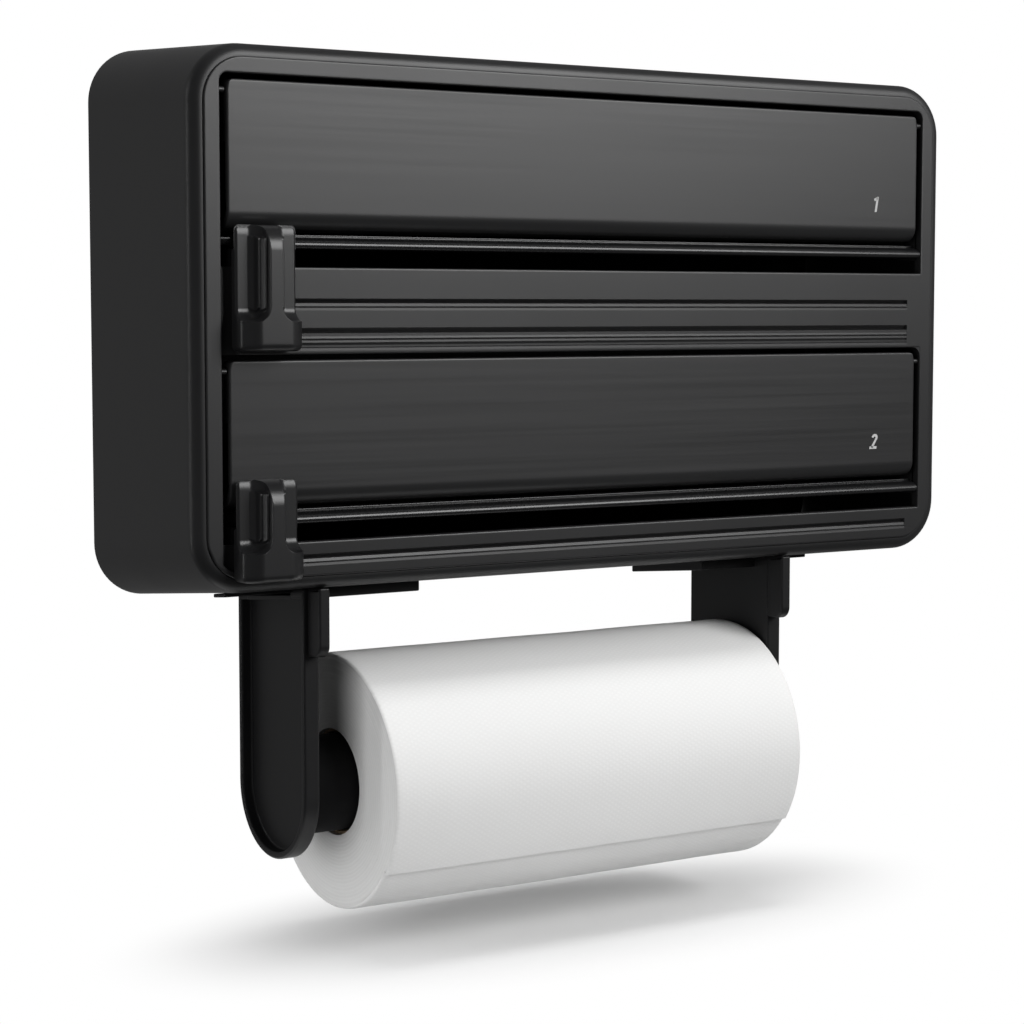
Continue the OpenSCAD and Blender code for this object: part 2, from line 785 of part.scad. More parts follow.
// Channel on the inside of the underside, in which both slide shoes run
module arm_rail() {
    half = slide_shoe_w / 2 + slide_gap;
    top = wall_u + rail_floor;
    color([0.14, 0.14, 0.15])
    difference() {
        under() {
            box([rail_x0, -half - rail_wall, wall_u], [rail_x1, half + rail_wall, top]);
            for (y = [-half - rail_wall, half])
                box([rail_x0, y, wall_u], [rail_x1, y + rail_wall, top + rail_wall_h]);
        }
        neck_slots(0, top + 1);
        under()
            rail_screw_places()
                cylinder(r = screw_r + screw_gap, h = far / 10);
    }
}

module arm_rail_screws() {
    color([0.72, 0.72, 0.74])
    under()
        rail_screw_places() {
            translate([0, 0, wall_u / 3])
                cylinder(r = screw_r, h = wall_u + rail_floor - wall_u / 3 + eps);
            translate([0, 0, wall_u + rail_floor])
                cylinder(r = 2 * screw_r, h = head_h);
        }
}

// Places of the two screws in a slide shoe, whose neck is centred on x
module shoe_screw_places(x) {
    for (side = [-1, 1])
        translate([x + side * neck_l / 4, 0, 0])
            children();
}

// Shoe inside the rail that carries an arm by its neck
module slide_shoe(x) {
    color([0.14, 0.14, 0.15])
    under()
        difference() {
            box([x - slide_shoe_l / 2, -slide_shoe_w / 2, shoe_floor],
                [x + slide_shoe_l / 2, slide_shoe_w / 2, shoe_floor + slide_shoe_t]);
            shoe_screw_places(x)
                cylinder(r = screw_r + screw_gap, h = far / 10);
        }
}

// Screws that hold a shoe on the neck
module slide_screws(x) {
    color([0.72, 0.72, 0.74])
    under()
        shoe_screw_places(x) {
            translate([0, 0, -slide_gap - plate_t / 3])
                cylinder(r = screw_r, h = slide_gap + plate_t / 3 + shoe_floor + slide_shoe_t + eps);
            translate([0, 0, shoe_floor + slide_shoe_t])
                cylinder(r = 2 * screw_r, h = head_h);
        }
}

// Outline of an arm in (y, z), drawn in by an inset
module arm_outline(inset) {
    r = arm_r - inset;
    translate([-arm_y, roll_z])
        circle(r);
    translate([-arm_y - r, roll_z])
        square([2 * r, -roll_z]);
}

// Front shoulder of an arm, with a round lower corner
module shoulder_outline() {
    front = front_y + shoulder_back;
    low = -z_top - shoulder_h;
    translate([front, low + shoulder_r])
        square([-arm_y - front, shoulder_h]);
    translate([front + shoulder_r, low])
        square([-arm_y - front - shoulder_r, shoulder_h]);
    translate([front + shoulder_r, low + shoulder_r])
        circle(shoulder_r);
}

// Arm from its inner face at x = 0 outwards, in one piece: a hanging sheet with
// a raised edge and a shoulder, cut off along the underside, and the slide
// plate with the neck that passes up into the rail
module arm(plate_in, plate_out, plate_rear) {
    plate_low = -slide_gap - plate_t;
    neck_x = neck_place(plate_in);
    color([0.15, 0.15, 0.16])
    difference() {
        union() {
            difference() {
                union() {
                    along_x(0, arm_t)
                        arm_outline(0);
                    along_x(0, shoulder_t)
                        shoulder_outline();
                }
                intersection() {
                    along_x(arm_web, arm_t + 1)
                        arm_outline(arm_rim);
                    under()
                        box([0, -far, -far], [2 * arm_t, far, plate_low]);
                }
                under()
                    box([-1, -far, -slide_gap], [arm_t + 1, far, far]);
            }
            under() {
                box([-plate_in, -plate_front, plate_low], [arm_t, plate_rear, -slide_gap]);
                box([arm_t - 1, -plate_front, -slide_gap - plate_thin],
                    [arm_t + plate_out, thin_d - plate_front, -slide_gap]);
                box([neck_x - neck_l / 2, -neck_w / 2, -slide_gap - 1],
                    [neck_x + neck_l / 2, neck_w / 2, shoe_floor]);
            }
        }
        bore_x(-arm_y, roll_z, peg_r + peg_gap, -1, peg_h);
        under()
            shoe_screw_places(neck_x)
                translate([0, 0, -slide_gap - plate_t / 2])
                    cylinder(r = screw_r + screw_gap, h = far / 10);
    }
}

// Hub from an arm's inner face at x = 0 into the core, open at its tip
module hub(l) {
    color([0.12, 0.12, 0.13])
    translate([0, -arm_y, roll_z])
        rotate([0, -90, 0])
            difference() {
                union() {
                    cylinder(r = hub_r, h = l - hub_taper);
                    translate([0, 0, l - hub_taper - eps])
                        cylinder(r1 = hub_r, r2 = hub_tip_r, h = hub_taper);
                    translate([0, 0, -peg_h])
                        cylinder(r = peg_r, h = peg_h + 1);
                }
                translate([0, 0, hub_wall])
                    cylinder(r = hub_tip_r - hub_wall, h = l);
            }
}

// The right-hand arm's pieces, mirrored for the left
module on_left() {
    translate([left_arm_in, 0, 0])
        mirror([1, 0, 0])
            children();
}

module on_right() {
    translate([right_arm_in, 0, 0])
        children();
}

module roll_core() {
    color([0.62, 0.5, 0.36])
    difference() {
        bore_x(-arm_y, roll_z, core_r + core_t, roll_x0 + core_end, roll_x1 - core_end);
        bore_x(-arm_y, roll_z, core_r, roll_x0 - 1, roll_x1 + 1);
    }
}

// Wound paper: the radius grows by one sheet over a turn from the loose end
module kitchen_roll() {
    color([0.93, 0.93, 0.92])
    difference() {
        translate([0, -arm_y, roll_z])
            along_x(roll_x0, roll_x1)
                polygon([for (i = [0:tail_points])
                    let (turn = i / tail_points)
                    let (a = 180 + tail_angle + 360 * turn)
                    wound_r(turn) * [cos(a), sin(a)]]);
        bore_x(-arm_y, roll_z, core_r + core_t + paper_gap, roll_x0 - 1, roll_x1 + 1);
    }
}

housing_shell();
back_plate();
front_frame();
frame_screws();
tray(FILM);  // film_tray
tray_screws(FILM);  // film_tray_screws
tray(FOIL);  // foil_tray
tray_screws(FOIL);  // foil_tray_screws
rail(FILM);  // film_rail
rail(FOIL);  // foil_rail
door(FILM);  // film_door
door_pins(FILM);  // film_door_pins
door(FOIL);  // foil_door
door_pins(FOIL);  // foil_door_pins
grip(FILM, film_cutter_drop, film_cutter_rise);  // film_cutter_grip
blade(FILM);  // film_cutter_blade
cutter_shoe(FILM);  // film_cutter_shoe
cutter_screw(FILM);  // film_cutter_screw
grip(FOIL, foil_cutter_drop, foil_cutter_rise);  // foil_cutter_grip
blade(FOIL);  // foil_cutter_blade
cutter_shoe(FOIL);  // foil_cutter_shoe
cutter_screw(FOIL);  // foil_cutter_screw
arm_rail();
arm_rail_screws();
on_left() arm(left_plate_in, left_plate_out, left_plate_rear);  // left_arm
on_left() hub(left_hub_l);  // left_hub
slide_shoe(left_neck_x);  // left_slide_shoe
slide_screws(left_neck_x);  // left_slide_screws
on_right() arm(right_plate_in, right_plate_out, right_plate_rear);  // right_arm
on_right() hub(right_hub_l);  // right_hub
slide_shoe(right_neck_x);  // right_slide_shoe
slide_screws(right_neck_x);  // right_slide_screws
roll_core();
kitchen_roll();
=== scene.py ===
"""Looks of a wall-mounted holder for cling film, foil and a kitchen roll.

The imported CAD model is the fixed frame. Pieces with a moulded or soft form are
surfaces worked out with numpy in that same frame, in metres, and each stands
for the CAD node whose place it takes. The other CAD nodes get finishes.
"""

import json
import math

import bpy
import numpy as np
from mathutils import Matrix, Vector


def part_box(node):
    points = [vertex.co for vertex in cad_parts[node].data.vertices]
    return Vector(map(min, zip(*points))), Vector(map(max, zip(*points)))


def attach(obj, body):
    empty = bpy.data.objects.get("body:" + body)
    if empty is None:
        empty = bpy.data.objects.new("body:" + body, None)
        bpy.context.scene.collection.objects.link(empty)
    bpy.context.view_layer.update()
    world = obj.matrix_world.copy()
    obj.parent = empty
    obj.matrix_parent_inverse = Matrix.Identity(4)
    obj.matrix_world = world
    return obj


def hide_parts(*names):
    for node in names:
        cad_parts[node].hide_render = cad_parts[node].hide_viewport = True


bl_info = {
    "name": "Triple roll holder",
    "version": (1, 0, 0),
    "blender": (4, 5, 0),
    "location": "View3D > Sidebar > Roll holder",
    "description": "Builds the finished look of a holder for film, foil and paper rolls",
    "category": "Add Mesh",
}

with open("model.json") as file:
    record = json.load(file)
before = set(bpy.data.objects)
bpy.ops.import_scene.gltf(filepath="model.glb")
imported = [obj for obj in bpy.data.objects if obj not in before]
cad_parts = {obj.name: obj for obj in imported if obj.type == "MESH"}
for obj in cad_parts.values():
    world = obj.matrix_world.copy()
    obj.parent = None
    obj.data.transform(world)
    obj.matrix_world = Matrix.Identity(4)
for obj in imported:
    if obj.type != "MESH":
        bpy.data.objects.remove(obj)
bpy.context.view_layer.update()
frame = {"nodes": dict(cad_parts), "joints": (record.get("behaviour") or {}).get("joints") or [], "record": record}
NODES = frame["nodes"]
JOINTS = {joint["name"]: joint for joint in frame["joints"]}
SLOTS = {part["node"]: part["material_slot"] for part in frame["record"]["subparts"]}
COLOURS = {row["slot"]: tuple(row["base_color"]) for row in frame["record"]["materials"]}
ROLL_AXIS = np.array(JOINTS["roll_spin"]["pos_m"])
BAYS = ("film", "foil")
SIDES = ("left", "right")

# Small lengths that several pieces share, in metres
HOLD = 0.0004  # flat run kept beside a rounding, so that flat stretches shade flat
HINT = 0.0001  # least offset between two rows of points
SOFT_EDGE = 0.0003  # rounding of small edges
UNDER_GAP = 0.0003  # clearance of the arms below the housing
SHOE_LAP = 0.0046  # how far a slide shoe laps over the edge of its slot
SLOT_PLAY = 0.0005  # play of an arm's neck in its slot
HUB_PEG = 0.0012  # length of the peg that seats a hub in its arm

# Edges that turn further than the angle aren't smoothed. The steps are those of the arcs at
# the corners of the housing and the frame.
SHARP_ANGLE = math.radians(32)
CORNER_STEPS = 16

# Moulded grain: cells a metre, and the height of the grain in metres
GRAIN = 1800.0
GRAIN_DEPTH = 0.00002


def length(name, description, default):
    """A length setting in metres."""
    return bpy.props.FloatProperty(
        name=name, description=description, default=default, unit="LENGTH", precision=4)


def number(name, description, default, unit="NONE"):
    """A plain number setting."""
    return bpy.props.FloatProperty(
        name=name, description=description, default=default, unit=unit)


def angle(name, description, degrees):
    """An angle setting."""
    return bpy.props.FloatProperty(
        name=name, description=description, default=math.radians(degrees), subtype="ANGLE")


def colour(name, description, default):
    """A colour setting."""
    return bpy.props.FloatVectorProperty(
        name=name, description=description, default=default, size=3, subtype="COLOR",
        min=0.0, max=1.0)


class HolderSizes(bpy.types.PropertyGroup):
    """Sizes of the moulded forms that the CAD boxes don't give."""

    corner_radius: length("Corner radius", "Radius of the housing's four corners", 0.0225)
    rim_radius: length("Rim radius", "Radius of the rounded front rim", 0.005)
    rim_flat: length("Rim flat", "Flat edge of the rim beside the frame", 0.0003)
    wall: length("Wall", "Wall thickness of the housing", 0.0025)
    flare_top: length("Top flare", "How much higher the top is at the wall", 0.005)
    flare_bottom: length("Bottom flare", "How much lower the underside is at the wall", 0.009)
    frame_thickness: length("Frame thickness", "Thickness of the front frame", 0.004)
    frame_gap: length("Frame gap", "Gap between the frame and the rim", 0.0002)
    edge: length("Edge radius", "Rounding of the frame's outer edges", 0.0005)
    window_height: length("Window height", "Height of a window in the frame", 0.0734)
    window_radius: length("Window radius", "Radius of the upper window corners", 0.0035)
    slot_height: length("Slot height", "Height of the slot below a rail", 0.007)
    panel_lip: length("Panel lip", "Rounding of a panel's upper edge", 0.0007)
    groove_depth: length("Groove depth", "Depth of the grooves in the panels", 0.0018)
    groove_end: length("Groove end", "Distance of the groove ends from the window end", 0.0079)
    park_width: length("Recess width", "Width of the recess beside a parked cutter", 0.007)
    park_depth: length("Recess depth", "Depth of that recess", 0.003)
    door_skin: length("Door skin", "Thickness of the door skin", 0.0025)
    door_corner: length("Door corner", "Radius of the upper door corners", 0.003)
    door_drop: length("Door drop", "How far a door's front goes on below its hinge", 0.003)
    door_return: length("Door return", "Depth of the returns round a door", 0.007)
    arm_rim: length("Arm rim", "Width of the raised edge of an arm", 0.003)
    arm_web: length("Arm sheet", "Thickness of an arm inside its raised edge", 0.0024)
    arm_thickness: length("Arm thickness", "Thickness of an arm at its raised edge", 0.007)
    arm_radius: length("Arm radius", "Radius of an arm's rounded lower end", 0.0289)
    plate_thickness: length("Slide plate", "Thickness of the slide plates", 0.0043)
    sheet_step: length("Sheet step", "Step at the loose end of the paper", 0.0012)
    tail_angle: angle("Tail angle", "Angle of the loose end below the front of the roll", 35)


class HolderFinish(bpy.types.PropertyGroup):
    """Colours and surface values of the finishes."""

    housing: colour("Housing", "Colour of the housing", COLOURS["housing_plastic"])
    front: colour("Frame", "Colour of the front frame", COLOURS["frame_plastic"])
    door: colour("Doors", "Colour of the doors", COLOURS["door_plastic"])
    rail: colour("Rails", "Colour of the rails", COLOURS["rail_plastic"])
    cutter: colour("Cutters", "Colour of the cutters", COLOURS["cutter_plastic"])
    arm: colour("Arms", "Colour of the arms", COLOURS["arm_plastic"])
    inside: colour("Inside", "Colour of the inner pieces", COLOURS["inner_plastic"])
    steel: colour("Steel", "Colour of screws, pins and blades", COLOURS["steel"])
    board: colour("Core", "Colour of the cardboard core", COLOURS["core_card"])
    paper: colour("Paper", "Colour of the kitchen paper", COLOURS["roll_paper"])
    print: colour("Numerals", "Colour of the numerals on the doors", (0.52, 0.52, 0.52))


class HolderStage(bpy.types.PropertyGroup):
    """Camera, lamps and floor."""

    focal: number("Focal length", "Focal length in millimetres on a 36 mm sensor", 87.11,
                  "CAMERA")
    place: bpy.props.FloatVectorProperty(
        name="Camera", description="Place of the camera", size=3, subtype="TRANSLATION",
        default=(-0.60147, -0.95178, 0.00439))
    pitch: angle("Pitch", "How far the camera looks down", 4.681)
    yaw: angle("Yaw", "How far the camera stands to the left", 33)
    floor_drop: length("Floor", "Distance of the floor below the roll", 0.016)
    floor_radius: length("Floor radius", "Where the floor has gone over into the white", 0.23)
    ambient_front: number("Front light", "Strength of the studio's light from the front", 0.04)
    ambient_back: number("Back light", "Strength of the studio's light from behind", 0.2)


# Places that come from the CAD boxes

def node_box(node):
    """Lowest and highest corner of a CAD node as numpy arrays."""
    low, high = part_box(node)
    return np.array(low), np.array(high)


def bay_places(bay):
    """Heights of one bay and the half width of its window, from its rail and door."""
    rail_low, rail_high = node_box(bay + "_rail")
    door_low, door_high = node_box(bay + "_door")
    sizes = bpy.context.scene.holder_sizes
    low = rail_low[2] - sizes.slot_height
    return {
        "half": rail_high[0],
        "low": low,
        "high": low + sizes.window_height,
        "slot_top": rail_low[2],
        "door_half": door_high[0],
        "door_top": door_high[2],
        "front": door_low[1],
        "hinge": np.array(JOINTS[bay + "_door_hinge"]["pos_m"]),
    }


# Curves and surfaces

def arc(centre, radius, start, end, steps):
    """Points centre + radius (cos a, sin a) for a from start to end, in degrees."""
    a = np.radians(np.linspace(start, end, steps + 1))
    return np.column_stack([centre[0] + radius * np.cos(a), centre[1] + radius * np.sin(a)])


def rounded(corners, radii, steps):
    """A closed polyline whose corners are arcs of the given radii. Before and after each
    arc stands one more point, a hold away, so that flat stretches shade flat."""
    corners = np.asarray(corners, float)
    most_of_side = 0.9
    parts = []
    for i, (corner, radius) in enumerate(zip(corners, radii)):
        back = corners[i - 1] - corner
        ahead = corners[(i + 1) % len(corners)] - corner
        back_room, ahead_room = np.linalg.norm(back), np.linalg.norm(ahead)
        back, ahead = back / back_room, ahead / ahead_room
        half = math.acos(np.clip(back @ ahead, -1, 1)) / 2
        reach = radius / math.tan(half)
        middle = corner + (back + ahead) / np.linalg.norm(back + ahead) * radius / math.sin(half)
        first, last = corner + back * reach - middle, corner + ahead * reach - middle
        a0, a1 = math.atan2(first[1], first[0]), math.atan2(last[1], last[0])
        turn = (a1 - a0 + math.pi) % (2 * math.pi) - math.pi
        a = a0 + turn * np.linspace(0, 1, steps + 1)
        bend = middle + radius * np.column_stack([np.cos(a), np.sin(a)])
        parts += [[corner + back * min(reach + HOLD, most_of_side * back_room)], bend,
                  [corner + ahead * min(reach + HOLD, most_of_side * ahead_room)]]
    return np.vstack(parts)


def rounded_box(a0, a1, b0, b1, radii, steps):
    """A round rectangle from (a0, b0) to (a1, b1), anticlockwise from that first corner."""
    return rounded([(a0, b0), (a1, b0), (a1, b1), (a0, b1)], radii, steps)


def drawn_in(path, distance):
    """A closed anticlockwise path moved inwards: each point goes along the mean of its
    two edge normals, further at a sharp corner, so that the edges stay parallel."""
    tiny, least_lean = 1e-12, 0.3
    edge = np.roll(path, -1, 0) - path
    edge /= np.maximum(np.linalg.norm(edge, axis=1, keepdims=True), tiny)
    normal = np.column_stack([-edge[:, 1], edge[:, 0]])
    mean = normal + np.roll(normal, 1, 0)
    mean /= np.maximum(np.linalg.norm(mean, axis=1, keepdims=True), tiny)
    lean = np.maximum((mean * normal).sum(1, keepdims=True), least_lean)
    return path + mean * distance / lean


def grid_patch(points, wrap_u=False, wrap_v=False, caps=False, keep=None):
    """Quads over points[u, v]. wrap joins the last row or column to the first, caps close
    the first and last u rows with one face each, keep is a mask of the quads that stay."""
    points = np.asarray(points, float)
    nu, nv = points.shape[:2]
    index = np.arange(nu * nv).reshape(nu, nv)
    ring_u = np.vstack([index, index[:1]]) if wrap_u else index
    ring = np.hstack([ring_u, ring_u[:, :1]]) if wrap_v else ring_u
    quads = np.stack([ring[:-1, :-1], ring[1:, :-1], ring[1:, 1:], ring[:-1, 1:]], -1)
    if keep is not None:
        quads = quads[keep]
    ends = [index[0], index[-1, ::-1]] if caps else []
    return points.reshape(-1, 3), quads.reshape(-1, 4), ends


def moulding(path, profile, place):
    """A closed path carried through a profile of (inset, height): ring k is the path drawn
    in by the inset at that height, and place(a, b, height) puts it into the frame."""
    rings = []
    for inset, height in profile:
        ring = drawn_in(path, inset)
        rings.append(np.stack(place(ring[:, 0], ring[:, 1], np.full(len(ring), height)), -1))
    return grid_patch(np.array(rings), wrap_v=True, caps=True)


def slab_profile(low, high, edge=SOFT_EDGE, steps=4):
    """Profile of a flat slab with both edges rounded: a quarter arc at each end of a
    straight side, with a hold on the flat faces."""
    lower = arc((edge, low + edge), edge, 270, 180, steps)
    upper = arc((edge, high - edge), edge, 180, 90, steps)
    return np.vstack([[edge + HOLD, low], lower, lower[-1] + [0, HOLD],
                      upper[0] - [0, HOLD], upper, [edge + HOLD, high]])


def turned_rings(profile, count):
    """Circles about the roll axis: ring k has the radius and the x place of row k."""
    a = np.linspace(0, 2 * np.pi, count, endpoint=False)
    r, x = np.asarray(profile, float).T[:, :, None]
    return np.stack(np.broadcast_arrays(
        x, ROLL_AXIS[1] + r * np.cos(a), ROLL_AXIS[2] + r * np.sin(a)), -1)


def along_x(a, b, height):
    """A drawing of (y, z) whose height runs along x."""
    return height, a, b


def facing_front(a, b, height):
    """A drawing of (x, z) whose height runs towards the room, along -y."""
    return a, -height, b


def bar(path, x0, x1, edge=SOFT_EDGE):
    """A closed path in (y, z) carried along x from x0 to x1, with round edges at its ends."""
    return moulding(path, slab_profile(x0, x1, edge), along_x)


def joined(patches):
    """Several patches as one set of points, quads and end faces."""
    points, quads, ends, start = [], [], [], 0
    for patch_points, patch_quads, patch_ends in patches:
        points.append(patch_points)
        quads.append(patch_quads + start)
        ends += [end + start for end in patch_ends]
        start += len(patch_points)
    return np.vstack(points), np.vstack(quads), ends


def make_piece(name, patches, body, finish, replaces=(), uv=None):
    """Puts patches into one mesh object at the origin that rides on a CAD body."""
    points, quads, ends = joined(patches)
    mesh = bpy.data.meshes.new(name)
    sizes = np.concatenate([np.full(len(quads), 4), [len(end) for end in ends]]).astype(np.int32)
    loops = np.concatenate([quads.ravel(), *ends]).astype(np.int32)
    mesh.vertices.add(len(points))
    mesh.vertices.foreach_set("co", points.astype(np.float32).ravel())
    mesh.loops.add(len(loops))
    mesh.loops.foreach_set("vertex_index", loops)
    mesh.polygons.add(len(sizes))
    mesh.polygons.foreach_set("loop_start", (np.cumsum(sizes) - sizes).astype(np.int32))
    mesh.update(calc_edges=True)
    mesh.validate()
    mesh.polygons.foreach_set("use_smooth", np.ones(len(mesh.polygons), bool))
    mesh.set_sharp_from_angle(angle=SHARP_ANGLE)
    if uv is not None:
        layer = mesh.uv_layers.new(name="Surface")
        corner = np.empty(len(mesh.loops), np.int32)
        mesh.loops.foreach_get("vertex_index", corner)
        layer.data.foreach_set("uv", uv[corner].astype(np.float32).ravel())
    piece = bpy.data.objects.new(name, mesh)
    bpy.context.scene.collection.objects.link(piece)
    mesh.materials.append(finish)
    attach(piece, body)
    if replaces:
        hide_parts(*replaces)


def turned_over(patch):
    """The same patch with every face turned over."""
    points, quads, ends = patch
    return points, quads[:, ::-1], [end[::-1] for end in ends]


# Finishes

class Sock:
    """A shader socket in an expression: each operator adds a Math node."""

    def __init__(self, finish, socket):
        self.finish, self.socket = finish, socket

    def math(self, operation, other, turned=False):
        """One Math node of this socket and a number or another socket."""
        pair = (other, self) if turned else (self, other)
        return self.finish.node("ShaderNodeMath", {"operation": operation},
                                dict(enumerate(pair)))

    def __add__(self, other):
        return self.math("ADD", other)

    def __sub__(self, other):
        return self.math("SUBTRACT", other)

    def __rsub__(self, other):
        return self.math("SUBTRACT", other, True)

    def __mul__(self, other):
        return self.math("MULTIPLY", other)

    __radd__, __rmul__ = __add__, __mul__


class Graph:
    """A node tree that expressions add nodes to."""

    def __init__(self, tree):
        self.tree = tree

    def node(self, kind, settings=None, inputs=None, output=0):
        """A node of that type: its settings first, then its socket values or links."""
        made = self.tree.nodes.new(kind)
        for key, value in (settings or {}).items():
            setattr(made, key, value)
        for key, value in (inputs or {}).items():
            if isinstance(value, Sock):
                self.tree.links.new(value.socket, made.inputs[key])
            else:
                made.inputs[key].default_value = value
        return Sock(self, made.outputs[output]) if made.outputs else None

    def light_path(self):
        """Where a ray is the camera's, and where it is mirrored or goes through glass."""
        rays = [self.node("ShaderNodeLightPath", output=name)
                for name in ("Is Camera Ray", "Is Glossy Ray", "Is Transmission Ray")]
        return rays[0], rays[1] + rays[2]


class Finish(Graph):
    """A material under construction, with a Principled shader."""

    def __init__(self, name, roughness=0.5, **sockets):
        self.material = bpy.data.materials.new(name)
        self.material.use_nodes = True
        super().__init__(self.material.node_tree)
        self.shader = self.tree.nodes["Principled BSDF"]
        self.shader.inputs["Roughness"].default_value = roughness
        for socket, value in sockets.items():
            self.shader.inputs[socket.replace("_", " ")].default_value = value

    def place(self, scale=(1, 1, 1), turn=(0, 0, 0), shift=(0, 0, 0), source="Object"):
        """Object or UV coordinates through a Mapping node."""
        coordinates = self.node("ShaderNodeTexCoord", output=source)
        return self.node("ShaderNodeMapping", None, {
            "Vector": coordinates, "Scale": scale, "Rotation": turn, "Location": shift})

    def noise(self, vector, scale, detail, roughness=0.55):
        """Noise from 0 to 1 at a number of cells a metre."""
        return self.node("ShaderNodeTexNoise", None, {
            "Vector": vector, "Scale": scale, "Detail": detail, "Roughness": roughness})

    def tint(self, value, shade, low, high):
        """A colour between a shade times low and times high, by a value from 0 to 1."""
        dark, light = ([min(1.0, channel * factor) for channel in shade]
                       for factor in (low, high))
        return self.node("ShaderNodeMix", {"data_type": "RGBA"}, {
            "Factor": value, 6: (*dark, 1.0), 7: (*light, 1.0)}, 2)

    def bump(self, height, strength, distance):
        """A Bump node from a height."""
        return self.node("ShaderNodeBump", None, {
            "Height": height, "Strength": strength, "Distance": distance})

    def set(self, **links):
        """Links values to the shader's sockets."""
        for socket, value in links.items():
            self.tree.links.new(value.socket, self.shader.inputs[socket.replace("_", " ")])
        return self.material


def moulded_plastic(name, shade, roughness, grain=GRAIN, depth=GRAIN_DEPTH, specular=0.5):
    """Satin moulded plastic: fine spark-eroded grain, slow changes of gloss and tone."""
    finish = Finish(name, Specular_IOR_Level=specular)
    place = finish.place()
    cloud = finish.noise(place, 14.0, 4.0)
    fine = finish.noise(place, grain, 2.0)
    tone = cloud * 0.6 + fine * 0.4
    return finish.set(
        Base_Color=finish.tint(tone, shade, 0.82, 1.18),
        Roughness=cloud * 0.1 + fine * 0.06 + (roughness - 0.08),
        Normal=finish.bump(fine, 0.25, depth))


def streaked_plastic(name, shade, roughness):
    """Door plastic: satin, with faint streaks that run from side to side."""
    finish = Finish(name, Specular_IOR_Level=0.5)
    streak = finish.noise(finish.place((5.0, 40.0, 480.0)), 1.0, 5.0, 0.6)
    broad = finish.noise(finish.place((3.0, 20.0, 90.0)), 1.0, 3.0)
    fine = finish.noise(finish.place(), GRAIN, 2.0)
    tone = streak * 0.6 + broad * 0.4
    return finish.set(
        Base_Color=finish.tint(tone, shade, 0.7, 1.3),
        Roughness=streak * 0.2 + broad * 0.12 + (roughness - 0.16),
        Normal=finish.bump(streak * 0.7 + fine * 0.3, 0.3, GRAIN_DEPTH))


def brushed_steel(name, shade):
    """Plain steel with fine lines along x."""
    finish = Finish(name, Metallic=1.0)
    line = finish.noise(finish.place((60.0, 2500.0, 2500.0)), 1.0, 3.0)
    return finish.set(
        Base_Color=finish.tint(line, shade, 0.8, 1.0),
        Roughness=line * 0.2 + 0.24)


def core_board(name, shade):
    """Grey-brown board: fibre specks, and spots a few millimetres across."""
    finish = Finish(name, 0.9, Specular_IOR_Level=0.2)
    fibre = finish.noise(finish.place((500.0, 1400.0, 1400.0)), 1.0, 4.0)
    spot = finish.noise(finish.place(), 260.0, 2.0)
    tone = fibre * 0.6 + spot * 0.4
    return finish.set(
        Base_Color=finish.tint(tone, shade, 0.7, 1.2),
        Normal=finish.bump(fibre, 0.4, 0.00008))


def kitchen_paper(name, shade):
    """White tissue: an embossed net of small diamonds on UV in metres, soft fibres and a
    slow unevenness of the wound layers."""
    finish = Finish(name, 0.92, Specular_IOR_Level=0.15)
    place = finish.place(source="UV")
    waves = [finish.node("ShaderNodeTexWave", {"bands_direction": "X"}, {
        "Vector": finish.place((1, 1, 1), (0, 0, math.radians(turn)), source="UV"),
        "Scale": 170.0, "Distortion": 0.6, "Detail": 1.0, "Detail Scale": 2.0}, "Fac")
        for turn in (32, -32)]
    net = waves[0] * waves[1]
    fibre = finish.noise(place, 900.0, 4.0)
    slow = finish.noise(place, 16.0, 2.0)
    tone = fibre * 0.4 + slow * 0.3 + net * 0.3
    return finish.set(
        Base_Color=finish.tint(tone, shade, 0.93, 1.05),
        Normal=finish.bump(net * 0.6 + fibre * 0.4, 0.25, 0.0002))


def paper_edges(name, shade):
    """The end of the roll: the edges of the wound sheets, fine rings about the axis."""
    finish = Finish(name, 0.95, Specular_IOR_Level=0.1)
    place = finish.place(shift=(0.0, -ROLL_AXIS[1], -ROLL_AXIS[2]))
    ring = finish.node("ShaderNodeTexWave", {
        "wave_type": "RINGS", "rings_direction": "X"}, {
        "Vector": place, "Scale": 210.0, "Distortion": 1.6, "Detail": 3.0,
        "Detail Scale": 1.5, "Detail Roughness": 0.6}, "Fac")
    fibre = finish.noise(place, 700.0, 4.0)
    slow = finish.noise(place, 60.0, 2.0)
    tone = ring * 0.35 + fibre * 0.35 + slow * 0.3
    return finish.set(
        Base_Color=finish.tint(tone, shade, 0.9, 1.0),
        Normal=finish.bump(ring * 0.5 + fibre * 0.5, 0.3, 0.0002))


def numeral_print(name, shade):
    """Light grey ink, a little uneven."""
    finish = Finish(name, 0.6, Specular_IOR_Level=0.2)
    speck = finish.noise(finish.place(), 900.0, 3.0)
    return finish.set(Base_Color=finish.tint(speck, shade, 0.8, 1.15))


FINISHES = {}


